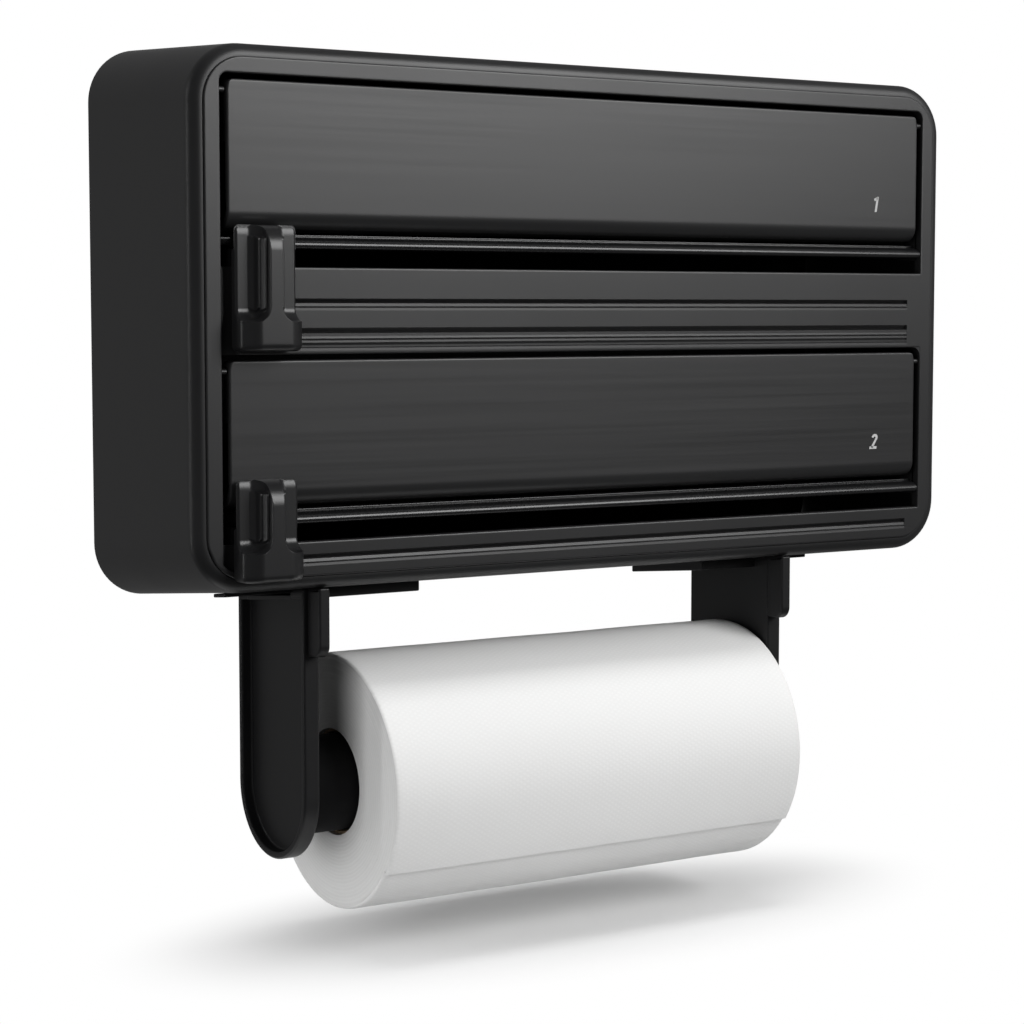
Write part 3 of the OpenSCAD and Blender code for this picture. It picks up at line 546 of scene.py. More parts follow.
def finish_of(slot):
    """The finish of a material slot of the record, made once."""
    if not FINISHES:
        look = bpy.context.scene.holder_finish
        FINISHES.update({
            "housing_plastic": moulded_plastic("housing satin", tuple(look.housing), 0.42),
            "frame_plastic": moulded_plastic("frame satin", tuple(look.front), 0.38),
            "door_plastic": streaked_plastic("door satin", tuple(look.door), 0.38),
            "rail_plastic": moulded_plastic("rail gloss", tuple(look.rail), 0.28,
                                            900.0, 0.000002),
            "cutter_plastic": moulded_plastic("cutter satin", tuple(look.cutter), 0.34),
            "arm_plastic": moulded_plastic("arm satin", tuple(look.arm), 0.42, specular=0.33),
            "inner_plastic": moulded_plastic("inner dull", tuple(look.inside), 0.8,
                                             specular=0.12),
            "steel": brushed_steel("plain steel", tuple(look.steel)),
            "core_card": core_board("core board", tuple(look.board)),
            "roll_paper": kitchen_paper("kitchen paper", tuple(look.paper)),
            "paper_edges": paper_edges("paper edges", tuple(look.paper)),
            "print": numeral_print("numeral ink", tuple(look.print)),
        })
    return FINISHES[slot]


# Pieces

def round_outline(half_w, low, high, radius, steps, stops=()):
    """Anticlockwise round rectangle in (x, z) from the lower left. stops are x places on
    the lower run that get a point of their own."""
    path = rounded_box(-half_w, half_w, low, high, [radius] * 4, steps)
    if len(stops):
        path = np.insert(path, steps + 3, [(stop, low) for stop in stops], 0)
    return path


def housing_patches(sizes):
    """The housing: a round rectangle carried along a closed profile, from the wall along
    the flared outside, round the rim, back into the mouth and along the inside. The top
    and the underside move out by a share that grows evenly from the rim to the wall."""
    low, high = node_box("housing_shell")
    half_w = high[0]
    z_top = high[2] - sizes.flare_top
    front = low[1]
    rim = front + sizes.rim_radius
    mouth = sizes.rim_radius + sizes.rim_flat
    seat = node_box("front_frame")[0][1] + sizes.frame_thickness
    slot_x, slot_half = slide_slots()
    slot_front, slot_back = ROLL_AXIS[1] - slot_half, ROLL_AXIS[1] + slot_half
    near_wall, before_rim = -0.002, rim + 0.001
    fillet = arc((rim, sizes.rim_radius), sizes.rim_radius, 270, 180, 12)
    outside = [[-SOFT_EDGE, 0.0], [near_wall, 0.0], [slot_back, 0.0], [slot_front, 0.0],
               [before_rim, 0.0]]
    inside = [[front, mouth - HINT], [front + HINT, mouth], [seat, mouth],
              [seat, sizes.wall], [rim, sizes.wall], [slot_front, sizes.wall],
              [slot_back, sizes.wall], [near_wall, sizes.wall], [0.0, sizes.wall],
              [0.0, SOFT_EDGE]]
    profile = np.vstack([outside, fillet, inside])
    stops = np.sort(np.ravel(slot_x))
    rings = []
    for y, inset in profile:
        share = np.clip(1 - y / rim, 0, 1)
        path = round_outline(half_w - inset, -z_top - sizes.flare_bottom * share + inset,
                             z_top + sizes.flare_top * share - inset,
                             sizes.corner_radius - inset, CORNER_STEPS, stops)
        rings.append(np.column_stack([path[:, 0], np.full(len(path), y), path[:, 1]]))
    points = np.array(rings)
    keep = np.ones(points.shape[:2], bool)
    outer_row = outside.index([slot_back, 0.0])
    inner_row = len(outside) + len(fillet) + inside.index([slot_front, sizes.wall])
    first_stop = CORNER_STEPS + 3
    holes = []
    for column in (first_stop, first_stop + 2):
        keep[[outer_row, inner_row], column] = False
        loops = [points[[row0, row0, row1, row1], [column, column + 1, column + 1, column]]
                 for row0, row1 in ((outer_row, outer_row + 1), (inner_row + 1, inner_row))]
        holes.append(grid_patch(np.array(loops), wrap_v=True))
    shell = grid_patch(points, wrap_u=True, wrap_v=True, keep=keep)
    return [turned_over(shell), *holes]


def slide_slots():
    """Slots in the underside through which the necks of the arms pass: x ranges with the
    travel of each arm, and half their width."""
    spans = []
    for side in SIDES:
        low, high = node_box(side + "_slide_shoe")
        travel = JOINTS[side + "_arm_slide"]["range_m"][1]
        x0, x1 = low[0] + SHOE_LAP - SLOT_PLAY, high[0] - SHOE_LAP + SLOT_PLAY
        spans.append((x0 - travel, x1) if side == "left" else (x0, x1 + travel))
    return spans, (high[1] - low[1]) / 2 - SHOE_LAP + SLOT_PLAY


def soft_step(value, start, end):
    """0 below start, 1 above end, and a smooth cubic between."""
    t = np.clip((value - start) / (end - start), 0, 1)
    return t * t * (3 - 2 * t)


# Sections of the grooves: distance below the upper edge in metres, and share of the depth.
# After the deep part come flat lips with fine notches between them.
UPPER_GROOVE = np.array([
    (0.0, 0.0), (0.0013, 1.0), (0.0019, 0.1), (0.0030, 0.055), (0.0033, 0.27),
    (0.0037, 0.035), (0.0047, 0.0)])
LOWER_GROOVE = np.array([
    (0.0, 0.0), (0.0013, 1.0), (0.0019, 0.2), (0.0030, 0.07), (0.0033, 0.3),
    (0.0037, 0.083), (0.0047, 0.0)])
THREE_GROOVES = np.array([
    (0.0, 0.0), (0.0016, 1.0), (0.0022, 0.1), (0.0034, 0.1), (0.0042, 0.055),
    (0.0046, 0.35), (0.0050, 0.07), (0.0058, 0.04), (0.0062, 0.45), (0.0069, 0.07),
    (0.0076, 0.07), (0.0078, 0.18), (0.0080, 0.035), (0.0090, 0.0)])

# Grooves of each panel: distance of the section's upper edge below the panel's, and section
FILM_GROOVES = ((0.0121, UPPER_GROOVE), (0.0235, THREE_GROOVES))
FOIL_GROOVES = ((0.0050, LOWER_GROOVE),)


def panel_patch(bay, foot, low_of, grooves, sizes, under=0.0):
    """A panel below a window as a closed sheet: its front is a field of depths y(x, z), the
    front plus the grooves, which end in a short slope at the right, and the recess at the
    left where a cutter parks. The upper edge is round and turns back into the slot, the
    lower one stands at low_of(x) and may be round too."""
    spot = bay_places(bay)
    half, top, front = spot["half"], spot["low"], spot["front"]
    lip, back = sizes.panel_lip, sizes.frame_thickness
    x_end, x_park = half - sizes.groove_end, -half + sizes.park_width
    slope, apart, fine = 0.0003, 0.001, 0.00004
    x = np.concatenate([np.linspace(-half, x_park - slope, 6),
                        np.linspace(x_park - HINT, x_park + slope, 4),
                        np.linspace(x_park + apart, x_end - 2 * apart, 40),
                        np.linspace(x_end - slope - 2 * HINT, x_end + HINT, 9),
                        np.linspace(x_end + apart, half, 8)])
    section = np.vstack([[[top - drop, 0.0]] + table * [-1, sizes.groove_depth]
                         for drop, table in grooves])[::-1]
    levels = [section[:, 0] + step for step in (-fine, 0.0, fine)]
    edges = [top - lip, top - lip - HOLD, foot + under + HOLD, foot + under]
    z = np.unique(np.round(np.concatenate([*levels, edges]), 7))[::-1]
    grid_x, grid_z = np.meshgrid(x, z, indexing="ij")
    low = low_of(grid_x)
    straight_share = 0.9
    turn = top - straight_share * (top - low)
    grid_z = np.where(grid_z >= turn, grid_z,
                      low + (grid_z - foot) / (turn - foot) * (turn - low))
    depth = np.interp(grid_z, section[:, 0], section[:, 1])
    depth *= 1 - soft_step(grid_x, x_end - slope, x_end)
    park = sizes.park_depth * (1 - soft_step(grid_x, x_park - HINT, x_park + slope))
    depth = np.maximum(depth, park)
    a = np.radians(np.linspace(90, 0, 6))[:-1]
    t = np.radians(np.linspace(0, 90, 5))[1:] if under else np.zeros(0)
    upper_y = np.concatenate([[back], lip * (1 - np.cos(a))])
    upper_z = np.concatenate([[top], top - lip + lip * np.sin(a)])
    lower_y = np.concatenate([under * (1 - np.cos(t)), [back]])
    lower_z = low[:, :1] + np.concatenate([under * (1 - np.sin(t)), [0.0]])[None]
    ones = np.ones((len(x), 1))
    rows_y = np.hstack([np.maximum(upper_y[None], park[:, :1]), depth,
                        np.maximum(lower_y[None], park[:, :1])])
    rows_z = np.hstack([ones * upper_z[None], grid_z, lower_z])
    field = np.stack([ones * x[:, None] * np.ones_like(rows_y), front + rows_y, rows_z], -1)
    return turned_over(grid_patch(field, wrap_v=True, caps=True))


def frame_paths(sizes):
    """The frame's outline and the edge of its opening, two paths in (x, z) with the same
    number of points, and for each point how much of the opening's edge is rounded: nothing
    where a panel goes on at the same level. The opening's lower corners are arcs about the
    same centres as the outline's."""
    film, foil = bay_places("film"), bay_places("foil")
    corner = node_box("housing_shell")[1]
    inset = sizes.rim_radius + sizes.rim_flat + sizes.frame_gap
    radius = sizes.corner_radius - inset
    x0, z0 = corner[0] - inset - radius, corner[2] - sizes.flare_top - inset - radius
    band, apart = 0.0022, 0.001
    lower, bend, half = radius - band, sizes.window_radius, film["half"]
    start = -z0 - math.sqrt(lower ** 2 - (half - x0) ** 2)
    ease = max(-z0, foil["low"] + apart)
    run = np.array([[start + apart, 0], [foil["low"] - sizes.panel_lip, 0], [foil["low"], 1],
                    [0.6 * foil["low"] + 0.4 * ease, 1], [0.2 * foil["low"] + 0.8 * ease, 1],
                    [ease, 1], [foil["high"], 1],
                    [foil["high"] + sizes.edge, 0], [film["low"] - sizes.panel_lip, 0],
                    [film["low"], 1]])
    beside = x0 + np.sqrt(radius ** 2 - np.minimum(run[:, 0] + z0, 0) ** 2)
    ends = [math.degrees(math.asin((start + z0) / r)) for r in (radius, lower)]
    halves = []
    for r, end, side, top, turn in (
            (radius, ends[0], beside, (x0, z0 + sizes.frame_gap), radius),
            (lower, ends[1], np.full(len(run), half), (half - bend, film["high"] - bend), bend)):
        halves.append(np.vstack([
            arc((x0, -z0), r, -90, end, CORNER_STEPS), np.column_stack([side, run[:, 0]]),
            arc(top, turn, 0, 90, CORNER_STEPS)]))
    outer, inner = (np.vstack([right, right[::-1] * [-1, 1]]) for right in halves)
    share = np.concatenate([np.zeros(CORNER_STEPS + 1), run[:, 1], np.ones(CORNER_STEPS + 1)])
    left = np.where(inner[:len(share), 0] > half - sizes.park_width, 1.0, share)
    return outer, inner, np.concatenate([share, left[::-1]])


def frame_patches(sizes):
    """The front frame: a ring between the round outline and the windows, two grooved
    panels, a fillet in the right upper corner of the lower window, the cheeks of the hinges,
    the catch nubs, the flange behind the rim and the screw posts."""
    film, foil = bay_places("film"), bay_places("foil")
    low, high = node_box("front_frame")
    front, seat = low[1], low[1] + sizes.frame_thickness
    half, edge = film["half"], sizes.edge
    outer, inner, share = frame_paths(sizes)
    outside = np.vstack([
        [(0.0, seat), (0.0, front + edge + HOLD)],
        arc((edge, front + edge), edge, 180, 270, 4), [(edge + HOLD, front)]])
    within = np.vstack([
        [(-edge - HOLD, front)], arc((-edge, front + edge), edge, 270, 360, 4),
        [(0.0, front + edge + HOLD)]])
    rings = [np.insert(drawn_in(outer, distance), 1, y, 1) for distance, y in outside]
    for distance, y in within:
        moved = inner + (drawn_in(inner, distance) - inner) * share[:, None]
        rings.append(np.column_stack([moved[:, 0], front + (y - front) * share, moved[:, 1]]))
    rings.append(np.insert(inner, 1, seat, 1))
    keep = np.ones((len(rings), len(share)), bool)
    keep[len(outside):-2] = (share + np.roll(share, -1) > 0)[None]
    patches = [turned_over(grid_patch(np.array(rings), wrap_u=True, wrap_v=True, keep=keep))]
    patches.append(panel_patch("film", foil["high"], lambda x: np.full(x.shape, foil["high"]),
                               FILM_GROOVES, sizes, edge))
    below = inner[:CORNER_STEPS + 1]
    patches.append(panel_patch(
        "foil", below[0, 1], lambda x: np.interp(np.abs(x), below[:, 0], below[:, 1]),
        FOIL_GROOVES, sizes))
    bend = sizes.window_radius
    fillet = np.vstack([arc((half - bend, foil["high"] - bend), bend, 0, 90, 12),
                        [[half, foil["high"]]]])
    patches.append(moulding(fillet, [(0.0, -seat), (0.0, -front - HINT), (HINT, -front)],
                            facing_front))
    for bay in BAYS:
        patches += cheek_patches(bay_places(bay), seat) + nub_patches(bay_places(bay), front)
    patches.append(flange_patch(sizes, seat))
    post_radius, sink = 0.0032, 0.001
    for centre in screw_places():
        post = arc(centre, post_radius, 0, 345, 23)
        patches.append(moulding(post, slab_profile(-high[1], -seat - sink), facing_front))
    return patches


def cheek_patches(spot, seat):
    """The two cheeks of a door's hinge: an outline in (y, z) from the frame back past the
    hinge, carried along x."""
    hinge, half = spot["hinge"], spot["half"]
    thick, reach, sink = 0.004, 0.007, 0.001
    back, top, low = hinge[1] + reach, hinge[2] + reach, spot["slot_top"] - sink
    plate = rounded_box(seat - sink, back, low, top, [SOFT_EDGE, 0.003, 0.005, SOFT_EDGE], 5)
    return [bar(plate, x0, x0 + thick) for x0 in (-half - thick, half)]


def nub_patches(spot, front):
    """The two catch nubs beside the top of a door: a circle in (y, z) carried along x."""
    radius, behind, below = 0.0012, 0.0022, 0.004
    nub = arc((front + behind, spot["door_top"] - below), radius, 0, 330, 11)
    root, tip = spot["half"] + 0.001, spot["half"] - 0.0026
    return [bar(nub, *sorted((side * root, side * tip))) for side in (-1, 1)]


def flange_patch(sizes, seat):
    """The flange behind the rim: a square section carried round a round rectangle."""
    inset, wide, thick, inner_radius, steps = 0.003, 0.0063, 0.002, 0.004, 10
    corner = node_box("housing_shell")[1] - [inset, 0.0, sizes.flare_top + inset]
    outer = round_outline(corner[0], -corner[2], corner[2], sizes.corner_radius - inset, steps)
    corner -= wide
    inner = round_outline(corner[0], -corner[2], corner[2], inner_radius, steps)
    rings = [np.insert(path, 1, y, 1) for path, y in (
        (inner, seat), (outer, seat), (outer, seat + thick), (inner, seat + thick))]
    return turned_over(grid_patch(np.array(rings), wrap_u=True, wrap_v=True))


def screw_places():
    """Centres of the four screw posts in (x, z), from the CAD screws."""
    mesh = NODES["frame_screws"].data
    co = np.empty(3 * len(mesh.vertices), np.float32)
    mesh.vertices.foreach_get("co", co)
    co = co.reshape(-1, 3)[:, [0, 2]]
    groups = [co[(np.sign(co) == side).all(1)]
              for side in ((-1, -1), (-1, 1), (1, -1), (1, 1))]
    return [(group.min(0) + group.max(0)) / 2 for group in groups]


def rail_patches(bay):
    """A rail: its section, a round nose low down, an elliptic slope above it and a small bead
    at the top, carried along x. At the left, where the cutter parks, a thinner bar goes on."""
    low, high = node_box(bay + "_rail")
    top_gap, nose, bead, bead_back, beside = 0.0005, 0.0016, 0.0004, 0.0003, 0.0006
    park, stub_deep, thinner, overlap = 0.0088, 0.004, 0.001, 0.0005
    stub_edge, end_edge, slope_share = 0.0008, 0.0002, 0.6
    top = high[2] - top_gap
    depth, slope_rise = slope_share * (high[1] - low[1]), top - 2 * bead - low[2] - nose
    a = np.radians(np.linspace(75, 0, 16))
    slope = np.column_stack([low[1] + depth * (1 - np.cos(a)),
                             low[2] + nose + slope_rise * np.sin(a)])
    middle = (slope[0, 0] + bead_back, top - bead)
    path = np.vstack([arc(middle, bead, 90, 225, 6), slope,
                      arc((low[1] + nose, low[2] + nose), nose, 180, 270, 8)[1:],
                      [[low[1] + nose + beside, low[2]], [high[1], low[2]],
                       [high[1], top - bead], [middle[0] + beside, top - bead]]])
    stub = rounded_box(high[1] - stub_deep, high[1] - overlap, low[2] + thinner, top - thinner,
                       [stub_edge, SOFT_EDGE, SOFT_EDGE, stub_edge], 3)
    return [bar(path, low[0] + park, high[0], end_edge),
            bar(stub, low[0], low[0] + park + overlap, end_edge)]


def door_patches(bay, sizes):
    """A door: its section in (y, z), front face, edge rounded about the hinge, inside and
    top return, carried along x. Towards the top the width follows the round corners.
    Each end has a return plate and a disc round the hinge pin."""
    spot = bay_places(bay)
    edge, inner_edge, run, lift = 0.0008, 0.0004, 0.0006, 0.0002
    hinge, front, top = spot["hinge"], spot["front"], spot["door_top"] + lift
    radius, skin, drop = hinge[1] - front, sizes.door_skin, sizes.door_drop
    back = front + sizes.door_return
    bend = (radius - drop) / 2
    bend += math.sqrt(bend ** 2 - drop ** 2 / 2)
    lid = np.linspace(top - edge - HOLD, hinge[2] - drop + run, 18)
    meet = 180 + math.degrees(math.atan2(drop + bend, radius - bend))
    inner_end = 329
    path = np.vstack([
        arc((front + edge, top - edge), edge, 90, 180, 6),
        np.column_stack([np.full(len(lid), front), lid]),
        arc((front + bend, hinge[2] - drop), bend, 180, 270, 20),
        arc(hinge[1:], radius, meet + 2, inner_end, 14),
        arc(hinge[1:], radius - skin, inner_end, 180, 24),
        [[front + skin, top - skin - inner_edge], [front + skin + inner_edge, top - skin]],
        [[back, top - skin], [back, top], [front + edge + run, top]]])
    half, corner, end_edge = spot["door_half"], sizes.door_corner, 0.0006
    points, quads, ends = bar(path, -half, half, end_edge)
    rise = np.clip(points[:, 2] - (top - corner), 0, corner)
    points[:, 0] *= 1 - (corner - np.sqrt(corner ** 2 - rise ** 2)) / half
    patches = [(points, quads, ends)]
    thick, end_gap, short, mid_skin = 0.003, 0.0004, 0.001, skin / 2
    plate = rounded_box(front + mid_skin, back - short, hinge[2], top - mid_skin,
                        [SOFT_EDGE] * 4, 3)
    disc = arc(hinge[1:], radius - mid_skin, 0, 352.5, 47)
    for x0 in (-half + end_gap, half - end_gap - thick):
        patches += [bar(plate, x0, x0 + thick), bar(disc, x0, x0 + thick)]
    return patches


# Sides of a cutter's rib: distance from its edge in metres, and share of its height
RIB_LEDGES = np.array([
    (0.0002, 0.9), (0.0005, 0.742), (0.0012, 0.732), (0.0019, 0.49), (0.0029, 0.478),
    (0.0034, 0.19), (0.0052, 0.0)])


def grip_patches(bay):
    """A cutter grip as closed loops carried up along z. The front of each loop is a field
    of heights over (x, z) before the frame: a plate, and on it a rib and a base that form
    one upturned T. Its edge falls to the plate in a hollow curve, and where rib and base
    meet its outline is an arc. The rib's top is a quarter ellipse and its sides have two
    steps, and the base has chamfered sides. The back is flat, and further forward where the
    door stands behind it."""
    low, high = node_box(bay + "_cutter_grip")
    spot = bay_places(bay)
    front = spot["front"]
    middle, half = (low[0] + high[0]) / 2, (high[0] - low[0]) / 2
    tall, plate = high[2] - low[2], 0.0034
    rise = front - low[1] - plate
    rib, base, bend, crown, corner = 0.0027, 0.0114, 0.0062, 0.0100, 0.0022
    side_r, foot_r, top_r, top_reach = 0.0013, 0.0030, 0.0016, 0.004
    before_rib, before_base, past, side_run = 0.0006, 0.0008, 0.0012, 0.0014

    def spread(stops, counts):
        """Places from stop to stop, with the given count in each run."""
        runs = [np.linspace(a, b, n, endpoint=False)
                for a, b, n in zip(stops[:-1], stops[1:], counts)]
        return np.concatenate([*runs, stops[-1:]])

    across = spread(np.array([0.0, rib - before_rib, rib + past, rib + bend, half - side_run,
                              half]), [6, 20, 26, 8, 10])
    s = np.concatenate([-across[:0:-1], across]) / half
    z = spread(np.array([0.0, foot_r, base - before_base, base + past, base + bend,
                         tall - crown, tall - past, tall]), [14, 8, 22, 30, 14, 36, 16])
    gap = np.minimum(z, tall - z)
    width = half - corner + np.sqrt(np.maximum(corner ** 2 - np.maximum(corner - gap, 0) ** 2, 0))
    grid_s, up = np.meshgrid(s, z, indexing="ij")
    x = grid_s * width[None]
    u, v = np.abs(x) - rib, up - base
    away = np.where((u < bend) & (v < bend), bend - np.hypot(bend - u, bend - v),
                    np.minimum(u, v))
    soft, sheer_power, fall = 0.0004, 1.5, RIB_LEDGES[-1, 0]
    t = np.clip((away + soft) / (fall + soft), 0, 1)
    sheer = np.clip((away + soft) / (2 * soft), 0, 1)
    hollow = 1 - np.sqrt(np.maximum(1 - (1 - t) ** 2, 0))
    ledge_start, ledge_full, ledge_end = 0.003, 0.0055, 0.0038
    ledge_lean, ledge_edge = 0.001, 0.00045
    stepped = (soft_step(v, ledge_start, ledge_full) * soft_step(v - u, 0.0, ledge_lean)
               * (1 - soft_step(up, tall - ledge_full, tall - ledge_end))
               * soft_step(away, RIB_LEDGES[0, 0], ledge_edge))
    hollow = hollow + (np.interp(away, *RIB_LEDGES.T) - hollow) * stepped
    height = rise * np.where(away < -soft, 1.0, 1 - (1 - hollow) * sheer ** sheer_power)
    over = np.clip((up - (tall - crown)) / crown, 0, 1)
    height = np.minimum(height, rise * np.sqrt(np.maximum(1 - over ** 2, 0)))
    chamfer, flat, run, power = 0.0044, 0.0060, 0.0072, 1.7
    past_flat = np.clip((np.abs(x) - flat) / run, 0, None)
    height = np.minimum(height, rise - chamfer * past_flat ** power)
    beside, above = width[None] - np.abs(x), tall - up
    for distance, reach, radius in ((beside, side_r, side_r), (above, top_reach, top_r),
                                    (up, foot_r, foot_r)):
        height = height - radius * (1 - np.sqrt(
            np.maximum(1 - np.maximum(1 - distance / reach, 0) ** 2, 0)))
    clear, behind_door, least = 0.0004, 0.0024, 0.0003
    back = np.where(z > spot["slot_top"] - low[2] - clear, behind_door, clear)
    height = np.maximum(plate + height, back[None] + least)
    face = np.stack([middle + x, front - height, low[2] + up], -1)
    rear_s = np.linspace(1, -1, 9)[:, None]
    rear = np.stack(np.broadcast_arrays(middle + rear_s * width[None], (front - back)[None],
                                        (low[2] + z)[None]), -1)
    body = grid_patch(np.concatenate([face, rear]).transpose(1, 0, 2), wrap_v=True, caps=True)
    stem_half, stem_corner, sink = 0.008, 0.0005, 0.001
    stem = rounded_box(middle - stem_half, middle + stem_half, spot["low"] + clear,
                       spot["slot_top"] - clear, [stem_corner] * 4, 3)
    return [body, moulding(stem, slab_profile(-high[1], -front + sink), facing_front)]


def under_frame():
    """Frame on the sloping underside below the roll axis: origin, direction along y and
    normal, so that a point is origin + y along + h normal."""
    sizes = bpy.context.scene.holder_sizes
    low = node_box("housing_shell")[0]
    rim = low[1] + sizes.rim_radius
    tilt = math.atan2(sizes.flare_bottom, -rim)
    origin = np.array([ROLL_AXIS[1], low[2] + sizes.flare_bottom * ROLL_AXIS[1] / rim])
    return (origin, np.array([math.cos(tilt), -math.sin(tilt)]),
            np.array([math.sin(tilt), math.cos(tilt)]))


def tilted_box(x0, x1, y0, y1, h0, h1, edge):
    """A box with round edges on the sloping underside: an outline in (x, y) carried along
    the normal, and leaned so that its front and rear stand upright."""
    origin, run, normal = under_frame()

    def place(a, b, height):
        """A drawing of (x, y) on the underside, leaned with its height."""
        along = b + height * run[1] / run[0]
        flat = origin[None] + along[:, None] * run[None] + height[:, None] * normal[None]
        return a, flat[:, 0], flat[:, 1]

    least_corner = 0.001
    outline = rounded_box(x0, x1, y0, y1, [max(edge, least_corner)] * 4, 4)
    return moulding(outline, slab_profile(h0, h1, edge), place)


def arm_face(side):
    """Where the inner face of an arm stands along x, and the direction away from the roll."""
    low, high = node_box(side + "_hub")
    return (low[0] + HUB_PEG, -1) if side == "left" else (high[0] - HUB_PEG, 1)


def arm_patches(side, sizes):
    """An arm: its outline in (y, z), straight sides and a round lower end, carried through
    a profile that leaves a raised edge on the outside, with the front shoulder and the
    pieces along the underside."""
    face, out = arm_face(side)
    origin, run, normal = under_frame()

    def under(y, h):
        """Height of the plane h above the underside at a place y."""
        along = (y - origin[0] - h * normal[0]) / run[0]
        return origin[1] + along * run[1] + h * normal[1]

    def place(a, b, height):
        """A drawing of (y, z) whose height runs away from the roll."""
        return face + out * height, a, b

    radius, thick, rim, web = sizes.arm_radius, sizes.arm_thickness, sizes.arm_rim, sizes.arm_web
    y, z = ROLL_AXIS[1:]
    y0, y1, sink, apart = y - radius, y + radius, 0.0008, 0.001
    rise0, rise1 = under(y0, -sink), under(y1, -sink)
    path = np.vstack([arc((y, z), radius, 180, 360, 40), [
        [y1, z + apart], [y1, (z + rise1) / 2], [y1, rise1],
        [y0, rise0], [y0, (z + rise0) / 2], [y0, z + apart]]])
    edge, lip, hollow, face_inset, web_run = 0.0008, 0.0009, 0.0009, 0.004, 0.0006
    within = rim + HINT
    profile = np.vstack([
        [(face_inset, 0.0), (edge + HOLD, 0.0)], arc((edge, edge), edge, 270, 180, 5),
        [(0.0, edge + HOLD), (0.0, thick - lip - HOLD)],
        arc((lip, thick - lip), lip, 180, 90, 5), arc((rim - lip, thick - lip), lip, 90, 0, 5),
        [(rim, thick - lip - HOLD), (within, web + hollow + 2 * HINT)],
        arc((within + hollow, web + hollow), hollow, 180, 270, 5),
        [(rim + hollow + web_run, web)]])
    tall, wide, overlap, corner = 0.028, 0.005, 0.0016, 0.0006
    front, root = node_box(side + "_arm")[0][1], y0 + overlap
    foot = node_box("housing_shell")[0][2] + sizes.flare_bottom - tall
    shoulder = rounded([(front, foot), (root, foot), (root, under(root, -HOLD)),
                        (front, under(front, -HOLD))], [0.005, corner, corner, corner], 8)
    patches = [moulding(path, profile, place),
               moulding(shoulder, slab_profile(HINT, wide, lip, 5), place)]
    if side == "left":
        patches = [turned_over(patch) for patch in patches]
    return patches + slide_patches(side, sizes)


def slide_patches(side, sizes):
    """The pieces of an arm along the underside: the slide plate, its thin outer end, a cap
    over the arm and the neck that passes into the housing."""
    face, out = arm_face(side)
    low, high = node_box(side + "_arm")
    shoe_low, shoe_high = node_box(side + "_slide_shoe")
    radius, arm_out = sizes.arm_radius, face + out * sizes.arm_thickness
    shorter, overlap, back = 0.005, 0.001, -0.019
    inner, outer, ahead = ((high[0], low[0] + shorter, 0.021) if side == "left"
                           else (low[0], high[0], 0.035))
    top, bottom, edge = -UNDER_GAP, -UNDER_GAP - sizes.plate_thickness, 0.0006
    thin_deep, thin_thick, neck_half, neck_top = 0.011, 0.0015, 0.010, 0.0048
    plate = tilted_box(*sorted((inner, arm_out)), back, ahead, bottom, top, edge)
    thin = tilted_box(*sorted((arm_out - out * overlap, outer)), back, back + thin_deep,
                      top - thin_thick, top, HOLD)
    cap = tilted_box(*sorted((face + out * HINT, arm_out - out * HINT)), HOLD - radius,
                     radius - HOLD, bottom + HINT, top - HINT, edge)
    neck = tilted_box(shoe_low[0] + SHOE_LAP, shoe_high[0] - SHOE_LAP, -neck_half, neck_half,
                      top - overlap, neck_top, HOLD)
    return [plate, thin, cap, neck]


def hub_patches(side):
    """A hub: circles about the roll axis through a profile of (radius, distance from the
    arm): the seat, the outside, a tapered round tip, and the hollow inside."""
    low, high = node_box(side + "_hub")
    start, way = (low[0], 1) if side == "left" else (high[0], -1)
    radius, long = (high[2] - low[2]) / 2, high[0] - low[0]
    seat, taper, wall, soft, blunt = 0.008, 0.006, 0.0025, 0.0004, 0.0008
    tip, bottom = radius - wall, HUB_PEG + wall
    hollow = tip - wall
    profile = np.array([
        (0.0, 0.0), (seat - soft, 0.0), (seat, soft), (seat, HUB_PEG),
        (radius - soft - HINT, HUB_PEG), (radius - HINT, HUB_PEG + HINT),
        (radius, HUB_PEG + soft + 2 * HINT), (radius, long - taper - blunt),
        (radius - HINT, long - taper + 3 * HINT), (tip + soft + HINT, long - soft - blunt),
        (tip + HINT, long - soft), (tip - soft, long), (hollow + 3 * HINT, long),
        (hollow, long - soft), (hollow, bottom + blunt), (hollow - blunt, bottom),
        (0.0, bottom)])
    patch = grid_patch(turned_rings(profile * [1, way] + [0, start], 72), wrap_v=True)
    return [turned_over(patch) if side == "right" else patch]


def core_patches():
    """The cardboard core: circles about the roll axis through the section of a tube with
    softly rounded ends, which stand a little inside the roll."""
    sunk, wall, soft, soft_in = 0.002, 0.0012, 0.0003, 0.0002
    low, high = node_box("roll_core")
    x0, x1, outer = low[0] + sunk, high[0] - sunk, (high[2] - low[2]) / 2
    inner = outer - wall
    profile = [(inner, x0 + soft_in), (inner + soft, x0), (outer - soft, x0),
               (outer, x0 + soft), (outer, x1 - soft), (outer - soft, x1),
               (inner + soft, x1), (inner, x1 - soft_in)]
    return [grid_patch(turned_rings(profile, 96), wrap_u=True, wrap_v=True)]


def wound_radius(turn, roll_r, sizes):
    """Radius of the outer layer, one turn from the loose end: it grows evenly by the step
    of one sheet, and the last of the sheet lifts a little."""
    lift, lift_start = 0.0001, 0.93
    grown = roll_r - lift - sizes.sheet_step * (1 - turn)
    return grown + lift * soft_step(turn, lift_start, 1.0)


# Soft edges of the roll: distance from its end, and how far the paper drops there
ROLL_EDGE = np.array([
    (0.0, 0.0011), (0.0003, 0.0006), (0.0007, 0.00028), (0.0013, 0.0001), (0.0024, 0.0)])


